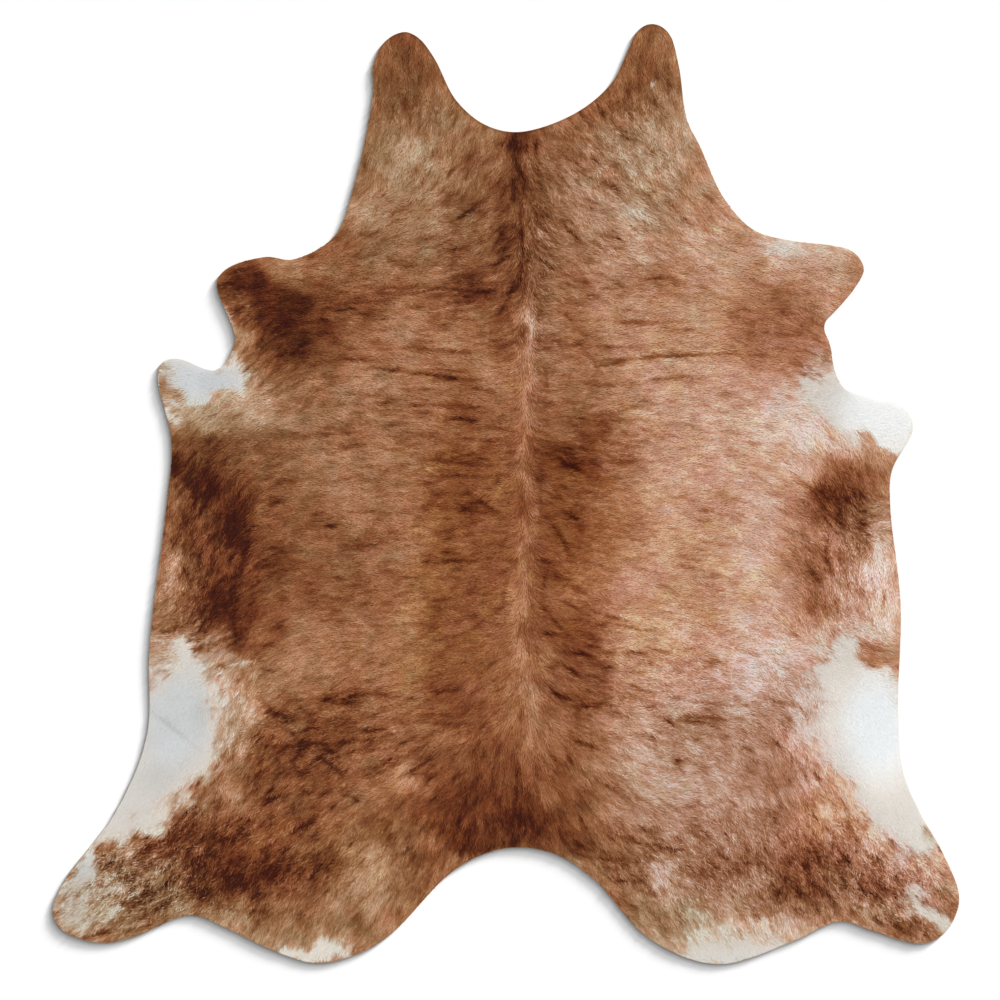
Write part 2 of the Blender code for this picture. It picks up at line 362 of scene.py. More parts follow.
def unitFlow(ahead, aside):
    size = np.hypot(ahead, aside) + maps["tiny"]
    return ahead / size, aside / size


def hairFlow():
    # the way the hair lies over the hide, as two maps of a unit vector
    step = maps["coatStep"]
    x, y = gridPoints(step * flow["coarse"])
    ahead, aside = np.zeros(x.shape), np.zeros(x.shape)
    for guides in flowGuides.values():
        for guideX, guideY, angle in guides:
            square = (x - guideX) ** 2 + (y - guideY) ** 2
            weight = (square + flow["reach"] ** 2) ** -flow["falloff"]
            ahead += weight * math.cos(math.radians(angle))
            aside += weight * math.sin(math.radians(angle))
    size = np.hypot(ahead, aside)
    nearSpine = np.exp(-((spineAway(x, y) / flow["spineWidth"]) ** 2))
    ahead = ahead / size * (1 - nearSpine)
    aside = aside / size * (1 - nearSpine) - nearSpine
    coarse = [gridOf(part, step * flow["coarse"]) for part in unitFlow(ahead, aside)]
    x, y = gridPoints(step)
    return [gridOf(part, step) for part in unitFlow(*(readGrid(part, x, y) for part in coarse))]


flowX, flowY = hairFlow()
print("hair flow laid out")


coat = {
    "ground": 116,           # tone of the brown ground; tones run from 0, black, to the full tone
    "fullTone": 255,
    "markReach": 2.2,        # a mark is worked out this many of its half-lengths round its middle
    "markFar": 4,            # and counts as no further off than this many of its own sizes
    "warp": 0.010,           # how far the marks' edges wander
    "comb": 0.006,           # how far the edges are drawn out along the hair
    "blotches": 5.0,         # spread of tone of the broad blotches
    "mottle": 5.0,           # spread of tone from clump to clump
    "brindle": 8.5,          # spread of tone of the short streaks
    "darkStreaks": 0.25,     # how much stronger the dark ones are than the pale ones
    "fine": 6.0,             # spread of tone of the finest streaks
    "warmSpread": 0.25,      # spread of warm and ashen hair from clump to clump
    "rosySpread": 0.40,      # spread of rosy and olive hair
    "whiteTone": 212,        # tone of the white hair
    "whiteFrom": 0.05,       # the coat turns paler where there is this much white in it
    "whiteFull": 0.6,        # and is at its palest here
    "borderAshen": 1.3,      # how much more ashen the coloured hair is where it pales
    "whiteWisps": 0.045,     # how ragged the white marks' edges are
    "wispBrindle": 0.6,      # how much the short streaks have a part in that
    "wispGain": 5,           # how soon it sets in where the white begins
    "whiteBlend": 0.32,      # how far white and coloured locks mix there
    "whiteSoft": 0.5,        # how many locks there are of a colour between the two
    "whiteCalm": 0.7,        # how much less the locks of white hair differ
    "lockSpread": 6.8,       # spread of tone from lock to lock
    "glintLocks": 0.04,       # share of locks painted paler than the rest, painted glints of light on single hairs
    "glintTone": 12.0,
    "seed": 40,
}

# Noises of the coat: how many cells each is blurred over, its seed, and how many cells it is
# drawn out along the hair.
combedNoises = {
    "fine": (0.5, 1, 2),
    "brindle": (0.8, 2, 8),
    "mottle": (2.0, 4, 7),
    "blotches": (7, 8, 8),
}
# The same for the noises that aren't drawn out.
plainNoises = {
    "warpX": (6, 6),
    "warpY": (6, 7),
    "warm": (6, 9),
    "rosy": (5, 11),
}

# Every mark below is an oval patch of the coat, listed under the place that it lies in: x and y
# of its middle, half its length, half its width, the turn of its length in degrees from +X
# towards +Y, the hardness of its edge, and what it adds there.

# Tone that is added to the ground's.
toneMarks = {
    "left neck lobe": [(-0.25, 0.98, 0.095, 0.07, 90, 3, -6), (-0.235, 0.98, 0.11, 0.075, 90, 5, -19),
        (-0.24, 1.06, 0.03, 0.015, 0, 3, -15), (-0.19, 0.935, 0.015, 0.015, 0, 3, -12)],
    "right neck lobe": [(0.39, 0.96, 0.025, 0.025, 0, 3, -8), (0.335, 0.98, 0.095, 0.06, 90, 3, -6),
        (0.335, 1.01, 0.11, 0.065, 88, 4, -22), (0.34, 0.98, 0.005, 0.005, 0, 4, 50),
        (0.265, 0.93, 0.04, 0.025, 35, 3, -36), (0.195, 0.88, 0.05, 0.02, 25, 3, -22),
        (0.385, 0.95, 0.035, 0.02, 60, 3, -12)],
    "neck notch": [(0.03, 0.83, 0.035, 0.015, 0, 3, -22), (0.03, 0.825, 0.035, 0.03, 0, 3, -34)],
    "neck": [(0.195, 0.655, 0.14, 0.055, -40, 3, 6), (-0.13, 0.69, 0.14, 0.055, 90, 3, 7),
        (-0.19, 0.505, 0.115, 0.035, 0, 3, 9), (0.21, 0.735, 0.095, 0.055, 0, 3, 6),
        (0.225, 0.63, 0.165, 0.13, 0, 3, 8), (-0.135, 0.64, 0.14, 0.06, 90, 3, 9),
        (0.03, 0.725, 0.14, 0.06, 90, 3, -22), (-0.085, 0.515, 0.105, 0.07, 85, 3, -20),
        (0.23, 0.63, 0.245, 0.1, 85, 4, 17), (-0.105, 0.745, 0.08, 0.035, 70, 3, -8)],
    "left neck": [(-0.13, 0.625, 0.06, 0.04, 0, 3, 6), (-0.13, 0.505, 0.07, 0.04, 0, 3, 9),
        (-0.25, 0.78, 0.13, 0.07, 90, 3, 8), (-0.13, 0.62, 0.035, 0.035, 0, 3, 10),
        (-0.22, 0.77, 0.11, 0.08, 90, 4, 22), (-0.215, 0.825, 0.03, 0.02, 0, 3, 24),
        (-0.18, 0.775, 0.015, 0.015, 0, 3, 12), (-0.225, 0.72, 0.02, 0.015, 0, 3, 12),
        (-0.33, 0.66, 0.07, 0.035, 75, 3, 18), (-0.35, 0.78, 0.07, 0.02, 80, 3, -6),
        (-0.2, 0.65, 0.035, 0.015, 0, 3, 10), (-0.295, 0.6, 0.055, 0.025, 70, 3, -8),
        (-0.375, 0.57, 0.03, 0.02, 60, 3, -18), (-0.075, 0.665, 0.055, 0.025, 35, 3, -30),
        (-0.125, 0.7, 0.035, 0.02, 30, 3, -16), (-0.065, 0.485, 0.05, 0.03, 0, 3, -32),
        (-0.2, 0.485, 0.11, 0.035, 5, 3, -17), (-0.215, 0.535, 0.035, 0.02, 0, 3, -8),
        (-0.285, 0.515, 0.03, 0.02, 0, 3, 12)],
    "right neck": [(0.305, 0.655, 0.04, 0.02, 0, 3, 14), (0.35, 0.855, 0.055, 0.04, 90, 3, 8),
        (0.11, 0.63, 0.04, 0.055, 0, 3, 7), (0.335, 0.745, 0.06, 0.045, 0, 3, 7),
        (0.455, 0.545, 0.08, 0.045, -20, 3, 9), (0.125, 0.74, 0.06, 0.04, 0, 3, 12),
        (0.39, 0.765, 0.025, 0.02, 0, 3, 22), (0.315, 0.85, 0.035, 0.025, 80, 3, 12),
        (0.25, 0.82, 0.02, 0.01, 0, 3, 14), (0.47, 0.56, 0.045, 0.03, 60, 3, 10),
        (0.395, 0.66, 0.035, 0.02, -60, 3, -18), (0.16, 0.76, 0.055, 0.03, -30, 3, -10),
        (0.12, 0.645, 0.08, 0.03, -38, 3, -18), (0.33, 0.51, 0.045, 0.03, 0, 3, -26),
        (0.175, 0.5, 0.02, 0.02, 0, 3, -18), (0.25, 0.48, 0.06, 0.015, 0, 3, -10),
        (0.455, 0.63, 0.06, 0.035, -45, 3, 8)],
    "withers": [(0.105, 0.275, 0.05, 0.035, 90, 3, 10), (-0.02, 0.27, 0.05, 0.04, 90, 3, 12),
        (-0.015, 0.395, 0.035, 0.04, 0, 3, -12), (-0.015, 0.405, 0.04, 0.035, 0, 3, -20),
        (0, 0.34, 0.185, 0.07, 0, 3, 12)],
    # painted sheen: the whorl is paler where its hair turns
    "whorl": [(0.06, 0.405, 0.025, 0.015, 90, 3, 26)],
    "spine": [(0.08, 0.49, 0.07, 0.03, 90, 3, -5), (0.11, -0.425, 0.095, 0.035, 90, 3, 9),
        (-0.02, -0.54, 0.06, 0.035, 90, 3, -10), (-0.005, 0.61, 0.04, 0.025, 60, 3, -18),
        (0.05, -0.48, 0.1, 0.04, 90, 3, 20)],
    "left of the spine": [(-0.125, 0.045, 0.07, 0.05, 0, 3, 5), (-0.09, -0.225, 0.445, 0.09, 90, 5, -18),
        (-0.005, 0.375, 0.06, 0.025, 80, 3, -16), (0.01, 0.49, 0.065, 0.02, 95, 3, -24),
        (0.01, 0.595, 0.05, 0.02, 75, 3, -26)],
    "right of the spine": [(0.2, -0.2, 0.09, 0.05, 0, 3, 16), (0.155, -0.155, 0.445, 0.075, 90, 5, -16)],
    "left shoulder": [(-0.595, 0.38, 0.035, 0.03, 90, 3, 10), (-0.63, 0.42, 0.04, 0.03, -60, 3, 44),
        (-0.48, 0.385, 0.045, 0.045, 0, 3, -8), (-0.505, 0.525, 0.05, 0.02, -10, 3, 34),
        (-0.48, 0.405, 0.155, 0.1, -25, 4, -42), (-0.52, 0.405, 0.125, 0.06, -42, 4, -34),
        (-0.61, 0.505, 0.06, 0.035, 5, 3, -38), (-0.52, 0.27, 0.06, 0.025, 85, 3, -30),
        (-0.335, 0.445, 0.06, 0.025, 5, 3, -20), (-0.395, 0.5, 0.055, 0.035, -20, 3, -12),
        (-0.62, 0.35, 0.045, 0.02, -70, 3, 34)],
    "right shoulder": [(0.63, 0.395, 0.08, 0.05, 0, 3, -5), (0.69, 0.29, 0.06, 0.035, 10, 3, -8),
        (0.69, 0.28, 0.05, 0.035, 0, 3, -12), (0.635, 0.39, 0.12, 0.1, 0, 4, -28),
        (0.545, 0.395, 0.045, 0.02, -80, 3, -9), (0.64, 0.295, 0.035, 0.015, -10, 3, -10),
        (0.56, 0.515, 0.03, 0.02, 60, 3, -16), (0.635, 0.565, 0.055, 0.04, -50, 3, 58),
        (0.74, 0.565, 0.08, 0.025, -8, 3, 34), (0.77, 0.525, 0.035, 0.03, 0, 3, 10),
        (0.7, 0.265, 0.04, 0.035, 0, 3, -2)],
    "left foreleg": [(-0.705, 0.12, 0.08, 0.025, 0, 3, -12), (-0.725, 0.165, 0.06, 0.03, 0, 3, 8),
        (-0.695, 0.165, 0.06, 0.03, 0, 3, 9), (-0.665, 0.2, 0.14, 0.045, 0, 3, 44),
        (-0.57, 0.25, 0.08, 0.055, 10, 3, 30)],
    "right foreleg": [(0.76, 0.16, 0.165, 0.075, -35, 4, 18), (0.655, 0.18, 0.08, 0.045, 0, 3, 26),
        (0.715, 0.125, 0.14, 0.04, 0, 3, 20)],
    "left back": [(-0.11, 0.255, 0.07, 0.045, 0, 3, 5), (-0.375, -0.07, 0.14, 0.07, 0, 3, -5),
        (-0.375, 0.27, 0.06, 0.045, 0, 3, 6), (-0.015, 0.045, 0.04, 0.045, 90, 3, 8),
        (-0.295, 0.395, 0.185, 0.055, 0, 3, 6), (-0.085, -0.18, 0.095, 0.06, 0, 3, 8),
        (-0.25, 0.24, 0.155, 0.105, 0, 3, 10), (-0.25, 0.335, 0.175, 0.105, 0, 3, 10),
        (-0.115, 0.28, 0.06, 0.02, 5, 3, -15), (-0.365, 0.23, 0.035, 0.025, 0, 3, -9),
        (-0.18, 0.35, 0.115, 0.03, 0, 3, -6), (-0.095, 0.185, 0.04, 0.025, -10, 3, -12),
        (-0.11, 0.075, 0.06, 0.035, 15, 3, -15), (-0.05, -0.03, 0.09, 0.02, 0, 3, -14),
        (-0.095, -0.145, 0.07, 0.02, 10, 3, -12), (-0.125, -0.45, 0.035, 0.03, 0, 3, -12),
        (-0.06, -0.525, 0.055, 0.035, 0, 3, -12), (-0.12, -0.58, 0.035, 0.035, 0, 3, 18)],
    "right back": [(0.35, 0.335, 0.14, 0.085, 0, 3, 8), (0.22, 0.22, 0.095, 0.06, 90, 3, -6),
        (0.13, -0.415, 0.045, 0.045, 0, 3, 8), (0.22, -0.19, 0.055, 0.045, 0, 3, 7),
        (0.1, -0.195, 0.04, 0.06, 90, 3, 9), (0.115, 0.045, 0.035, 0.045, 90, 3, 7),
        (0.23, -0.065, 0.045, 0.035, 0, 3, -9), (0.25, 0.105, 0.095, 0.095, 90, 3, -10),
        (0.195, 0.385, 0.14, 0.06, 0, 3, 10), (0.22, 0.16, 0.06, 0.04, 0, 3, -13),
        (0.22, 0.255, 0.14, 0.085, 0, 3, 10), (0.225, 0.11, 0.08, 0.04, 90, 3, -14),
        (0.15, 0.075, 0.055, 0.025, -18, 3, -28), (0.1, 0.055, 0.06, 0.025, 0, 3, -16),
        (0.18, 0.115, 0.05, 0.02, 0, 3, -10), (0.115, -0.06, 0.065, 0.02, -55, 3, -13),
        (0.09, -0.18, 0.05, 0.02, -68, 3, -13), (0.095, -0.315, 0.035, 0.02, -70, 3, -12),
        (0.165, -0.395, 0.06, 0.035, 0, 3, -13), (0.18, -0.485, 0.08, 0.03, 5, 3, -14),
        (0.165, -0.58, 0.035, 0.02, 0, 3, -10), (0.175, 0.335, 0.055, 0.025, -25, 3, -18),
        (0.08, 0.255, 0.035, 0.015, 85, 3, -12), (0.35, 0.33, 0.06, 0.02, 5, 3, -17),
        (0.255, 0.41, 0.035, 0.015, 0, 3, -10), (0.22, 0.15, 0.045, 0.095, 0, 3, -8)],
    "left middle": [(-0.215, -0.175, 0.14, 0.035, 90, 3, 10), (-0.19, -0.305, 0.095, 0.055, 0, 3, 7),
        (-0.36, -0.225, 0.1, 0.05, 5, 3, -14), (-0.445, -0.35, 0.065, 0.045, 15, 3, 14)],
    "right middle": [(0.265, -0.315, 0.115, 0.05, 90, 3, 6)],
    "left side": [(-0.365, -0.195, 0.05, 0.045, 0, 3, 8), (-0.48, 0.16, 0.05, 0.035, 0, 3, 8),
        (-0.25, 0.125, 0.14, 0.07, 0, 3, 5), (-0.57, 0.06, 0.095, 0.035, 0, 3, 7),
        (-0.425, 0.045, 0.115, 0.05, 0, 3, 7), (-0.335, 0.125, 0.41, 0.17, 90, 4, 8),
        (-0.355, -0.375, 0.185, 0.08, 0, 4, 8)],
    "right side": [(0.57, -0.275, 0.04, 0.02, 0, 3, 7), (0.585, -0.175, 0.045, 0.02, 0, 3, 8),
        (0.335, -0.07, 0.055, 0.045, 0, 3, 8), (0.35, -0.315, 0.07, 0.05, 0, 3, 10),
        (0.405, 0.04, 0.185, 0.045, 0, 3, -6), (0.465, -0.19, 0.095, 0.045, 0, 3, 9),
        (0.39, -0.315, 0.185, 0.05, 0, 4, 8), (0.685, 0.035, 1.405, 0.445, 90, 7, 44),
        (0.49, 0.125, 0.27, 0.22, 0, 4, 20), (0.605, -0.285, 0.165, 0.11, 60, 3, 16),
        (0.57, -0.245, 0.205, 0.08, 90, 4, 12)],
    "left flank": [(-0.49, -0.32, 0.065, 0.02, 0, 3, 8), (-0.57, -0.065, 0.02, 0.015, 30, 3, 11),
        (-0.57, -0.07, 0.07, 0.055, 90, 3, -7), (-0.715, -0.235, 0.095, 0.035, 90, 3, -10),
        (-0.715, 0.045, 0.055, 0.045, 0, 3, -10), (-0.6, -0.19, 0.055, 0.045, 90, 3, -9),
        (-0.705, -0.305, 0.05, 0.035, 0, 3, -14), (-0.705, -0.21, 0.08, 0.045, 90, 3, -14),
        (-0.47, -0.12, 0.145, 0.11, 0, 4, -12), (-0.69, -0.04, 0.215, 0.11, -82, 5, -28),
        (-0.725, 0.045, 0.065, 0.04, -15, 3, -42), (-0.66, -0.03, 0.09, 0.06, -50, 3, -30),
        (-0.635, -0.16, 0.12, 0.04, 88, 3, -28), (-0.655, -0.255, 0.06, 0.04, 0, 3, -24),
        (-0.62, -0.315, 0.04, 0.025, 80, 3, -16), (-0.53, -0.105, 0.195, 0.06, 85, 4, -14),
        (-0.48, -0.21, 0.07, 0.06, 0, 4, -8), (-0.64, -0.31, 0.115, 0.075, 0, 4, -26),
        (-0.785, -0.2, 0.06, 0.03, 85, 3, 34), (-0.785, -0.285, 0.035, 0.02, 35, 3, -12),
        (-0.785, -0.345, 0.05, 0.02, 0, 3, 36), (-0.535, -0.075, 0.035, 0.03, 0, 3, 14),
        (-0.52, 0.145, 0.035, 0.02, 0, 3, -22), (-0.6, 0.055, 0.06, 0.035, -35, 3, -8)],
    "right flank": [(0.695, -0.25, 0.06, 0.03, 0, 3, -10), (0.675, -0.155, 0.06, 0.03, 0, 3, -6),
        (0.77, -0.225, 0.06, 0.025, 80, 3, 5), (0.695, 0.025, 0.06, 0.035, 90, 3, 10),
        (0.875, -0.365, 0.06, 0.035, -15, 3, 8), (0.695, -0.3, 0.05, 0.04, 90, 3, 8),
        (0.685, -0.195, 0.055, 0.045, 0, 3, 10), (0.785, -0.105, 0.07, 0.035, 70, 3, -6),
        (0.77, 0.01, 0.065, 0.045, 20, 3, -30), (0.805, -0.14, 0.06, 0.035, 90, 3, -9),
        (0.7, -0.165, 0.115, 0.06, 85, 4, -20), (0.795, 0.005, 0.12, 0.105, -12, 5, -46),
        (0.76, -0.015, 0.07, 0.04, 40, 3, -34), (0.73, -0.155, 0.05, 0.04, 0, 3, -34),
        (0.745, -0.245, 0.08, 0.035, 85, 3, -32), (0.665, -0.105, 0.055, 0.03, -15, 3, -14),
        (0.885, -0.22, 0.115, 0.04, 88, 3, 44), (0.87, -0.06, 0.045, 0.03, 80, 3, 32),
        (0.69, 0.055, 0.045, 0.035, 0, 3, 24)],
    "left belly": [(-0.64, -0.535, 0.095, 0.035, 90, 3, 8), (-0.695, -0.67, 0.06, 0.03, 60, 3, -10),
        (-0.61, -0.52, 0.12, 0.05, 85, 3, 38), (-0.565, -0.435, 0.07, 0.055, 30, 3, 14)],
    "right belly": [(0.7, -0.54, 0.045, 0.045, 0, 3, -10), (0.81, -0.745, 0.04, 0.03, -60, 3, -14),
        (0.785, -0.33, 0.045, 0.03, 0, 3, 16), (0.795, -0.655, 0.03, 0.05, 40, 3, -12),
        (0.815, -0.3, 0.055, 0.035, 0, 3, 12), (0.77, -0.515, 0.175, 0.05, 95, 3, 34),
        (0.84, -0.745, 0.115, 0.035, -60, 3, 36), (0.855, -0.38, 0.06, 0.025, -12, 3, -40),
        (0.69, -0.46, 0.07, 0.03, -60, 3, 10)],
    "left loin": [(-0.36, -0.315, 0.06, 0.045, 0, 3, -5), (-0.285, -0.68, 0.08, 0.03, 15, 3, 12),
        (-0.26, -0.625, 0.095, 0.01, 24, 3, -16), (-0.48, -0.585, 0.06, 0.05, -40, 3, -7),
        (-0.41, -0.565, 0.14, 0.025, 8, 3, -8), (-0.365, -0.48, 0.105, 0.02, 4, 3, -12),
        (-0.25, -0.655, 0.045, 0.04, 0, 3, 7), (-0.365, -0.435, 0.05, 0.04, 0, 3, -8),
        (-0.48, -0.425, 0.045, 0.045, 0, 3, 10), (-0.245, -0.655, 0.05, 0.04, 0, 3, 10),
        (-0.57, -0.425, 0.07, 0.035, 20, 3, -12), (-0.25, -0.565, 0.175, 0.065, 90, 3, 9),
        (-0.47, -0.715, 0.11, 0.075, 0, 4, -18), (-0.43, -0.57, 0.185, 0.08, 0, 4, -18),
        (-0.485, -0.585, 0.03, 0.02, 0, 3, -12), (-0.42, -0.585, 0.035, 0.02, 0, 3, -12),
        (-0.335, -0.48, 0.075, 0.02, 5, 3, -12), (-0.54, -0.625, 0.06, 0.04, 20, 3, -12),
        (-0.23, -0.685, 0.04, 0.025, 0, 3, 18), (-0.425, -0.715, 0.055, 0.02, -35, 3, 12),
        (-0.375, -0.78, 0.04, 0.02, -50, 3, 10)],
    "right loin": [(0.455, -0.545, 0.06, 0.035, 0, 3, 8), (0.22, -0.39, 0.07, 0.025, 0, 3, -10),
        (0.48, -0.66, 0.07, 0.025, 5, 3, 10), (0.285, -0.595, 0.06, 0.035, -30, 3, 10),
        (0.465, -0.585, 0.105, 0.035, -5, 3, -8), (0.43, -0.525, 0.08, 0.01, -4, 3, -16),
        (0.405, -0.65, 0.21, 0.14, 0, 3, 5), (0.315, -0.665, 0.115, 0.045, 0, 3, 8),
        (0.2, -0.545, 0.11, 0.055, 0, 3, 11), (0.38, -0.67, 0.14, 0.07, -20, 3, 12),
        (0.325, -0.4, 0.29, 0.1, 90, 4, 15), (0.605, -0.39, 0.08, 0.04, 10, 3, 26),
        (0.715, -0.515, 0.07, 0.05, 70, 3, 24), (0.51, -0.46, 0.115, 0.045, 0, 3, 18),
        (0.41, -0.185, 0.055, 0.03, -12, 3, -13), (0.43, -0.38, 0.06, 0.025, -8, 3, -12),
        (0.455, -0.025, 0.07, 0.02, -5, 3, -10), (0.615, -0.03, 0.035, 0.025, 0, 3, 14)],
    "left rump": [(-0.25, -0.765, 0.07, 0.045, 0, 3, -8), (-0.305, -0.77, 0.035, 0.025, 0, 3, -20),
        (-0.2, -0.81, 0.035, 0.03, 0, 3, 10)],
    "right rump": [(0.455, -0.765, 0.05, 0.04, 0, 3, -6), (0.22, -0.89, 0.055, 0.045, 0, 3, 9),
        (0.69, -0.775, 0.05, 0.035, 0, 3, 10), (0.465, -0.98, 0.06, 0.035, 0, 3, 10),
        (0.35, -0.9, 0.085, 0.05, 0, 3, 11), (0.575, -0.665, 0.045, 0.035, 0, 3, -10),
        (0.475, -0.775, 0.06, 0.035, 0, 3, -11), (0.25, -0.795, 0.07, 0.07, 0, 3, 10),
        (0.665, -0.76, 0.165, 0.035, 0, 3, -16), (0.315, -0.765, 0.115, 0.045, 0, 3, 14),
        (0.43, -0.535, 0.06, 0.025, -12, 3, -22), (0.4, -0.61, 0.02, 0.035, 0, 3, -16),
        (0.305, -0.595, 0.035, 0.035, 0, 3, 12), (0.295, -0.68, 0.055, 0.02, 0, 3, 8),
        (0.62, -0.645, 0.06, 0.035, -8, 3, -34), (0.61, -0.76, 0.03, 0.03, 0, 3, -28),
        (0.34, -0.825, 0.105, 0.03, 0, 3, -20), (0.55, -0.565, 0.08, 0.035, -10, 3, -10),
        (0.55, -0.715, 0.055, 0.03, 30, 3, 8), (0.36, -0.875, 0.035, 0.03, 0, 3, 12),
        (0.22, -0.775, 0.05, 0.045, 0, 3, 14)],
    "rump": [(-0.06, -0.69, 0.2, 0.13, 0, 4, -18), (-0.085, -0.75, 0.175, 0.1, 0, 4, -12)],
    "tail": [(-0.005, -0.825, 0.105, 0.01, 0, 3, -28), (-0.065, -0.765, 0.1, 0.075, 5, 4, -26),
        (0.115, -0.775, 0.11, 0.055, -6, 4, -30), (-0.035, -0.685, 0.055, 0.03, 35, 3, -12),
        (-0.135, -0.69, 0.07, 0.07, 0, 4, -10), (0.17, -0.745, 0.095, 0.05, -48, 3, -14),
        (-0.185, -0.875, 0.055, 0.035, 50, 3, -14)],
    "left thigh": [(-0.48, -0.895, 0.055, 0.035, 0, 3, 10), (-0.6, -0.665, 0.055, 0.04, 0, 3, -8),
        (-0.65, -0.885, 0.115, 0.055, 0, 3, -8), (-0.6, -0.89, 0.07, 0.045, 0, 3, -10),
        (-0.64, -0.71, 0.035, 0.03, 70, 3, 30), (-0.595, -0.86, 0.225, 0.09, -4, 5, -36),
        (-0.705, -0.87, 0.055, 0.035, 85, 3, -24), (-0.595, -0.895, 0.06, 0.035, 10, 3, -22),
        (-0.66, -0.77, 0.105, 0.05, 55, 4, -18), (-0.74, -0.765, 0.08, 0.03, 50, 3, -28),
        (-0.55, -0.715, 0.07, 0.04, 60, 3, -16), (-0.65, -0.885, 0.07, 0.04, 80, 3, -14),
        (-0.455, -0.855, 0.08, 0.025, 0, 3, -20), (-0.305, -0.895, 0.08, 0.04, -75, 3, 34),
        (-0.39, -0.94, 0.08, 0.03, 10, 3, 14), (-0.34, -1.01, 0.04, 0.02, 0, 3, -10),
        (-0.64, -0.995, 0.06, 0.025, -15, 3, 30), (-0.47, -1.05, 0.145, 0.035, 0, 3, 34)],
    "right thigh": [(0.81, -0.745, 0.045, 0.035, -50, 3, -6), (0.335, -1.01, 0.055, 0.035, 0, 3, 13),
        (0.57, -0.96, 0.07, 0.035, 0, 3, -10), (0.465, -1.015, 0.055, 0.035, 0, 3, 18),
        (0.69, -0.875, 0.18, 0.085, -8, 5, -36), (0.715, -0.86, 0.07, 0.04, -12, 3, -40),
        (0.715, -0.79, 0.08, 0.035, -20, 3, -16), (0.615, -0.935, 0.045, 0.03, 20, 3, -30),
        (0.68, -0.925, 0.055, 0.035, 0, 3, -30), (0.51, -0.87, 0.05, 0.03, 10, 3, -36),
        (0.43, -0.885, 0.06, 0.025, 20, 3, -16), (0.31, -0.905, 0.03, 0.03, -45, 3, -22),
        (0.365, -0.98, 0.03, 0.02, 0, 3, -22), (0.75, -0.96, 0.045, 0.02, 0, 3, -16),
        (0.595, -0.895, 0.025, 0.02, 0, 3, 22), (0.25, -0.86, 0.06, 0.03, -40, 3, -22),
        (0.52, -1.04, 0.185, 0.05, 5, 3, 46), (0.35, -0.905, 0.06, 0.035, -30, 3, 30)],
    "right hock": [(0.92, -1.01, 0.055, 0.035, 0, 3, -14), (0.885, -0.925, 0.065, 0.025, -50, 3, -26),
        (0.915, -0.98, 0.035, 0.025, -60, 3, -30), (0.83, -0.98, 0.055, 0.02, -10, 3, -26)],
    "left leg": [(-0.88, -0.83, 0.08, 0.03, 15, 3, 12), (-0.835, -0.885, 0.055, 0.025, 30, 3, 9)],
    "right leg": [(0.965, -0.85, 0.05, 0.03, -25, 3, 10), (0.91, -0.805, 0.05, 0.03, -60, 3, 8)],
    "left foot": [(-0.95, -0.895, 0.045, 0.03, 20, 3, 4), (-0.95, -1, 0.1, 0.035, 0, 3, 14),
        (-0.885, -0.845, 0.065, 0.03, 20, 3, -24), (-0.955, -0.93, 0.06, 0.035, 80, 3, 26),
        (-0.875, -0.97, 0.035, 0.02, 0, 3, -26), (-0.815, -0.955, 0.025, 0.02, 0, 3, -20),
        (-0.91, -0.93, 0.02, 0.015, 0, 3, 16)],
    "right foot": [(1.045, -1, 0.03, 0.03, 0, 3, 8), (1.04, -0.995, 0.035, 0.035, -60, 3, 10),
        (0.935, -1.015, 0.06, 0.02, 15, 3, -18), (0.905, -0.905, 0.08, 0.035, -45, 3, -20),
        (0.92, -0.89, 0.05, 0.035, -40, 3, -13), (0.95, -1, 0.11, 0.06, -40, 3, 12),
        (0.95, -0.875, 0.035, 0.02, -20, 3, -24), (1.005, -0.885, 0.07, 0.03, -55, 3, 34),
        (1.02, -0.95, 0.035, 0.025, -40, 3, -10), (0.95, -1.02, 0.055, 0.02, 0, 3, -13)],
}

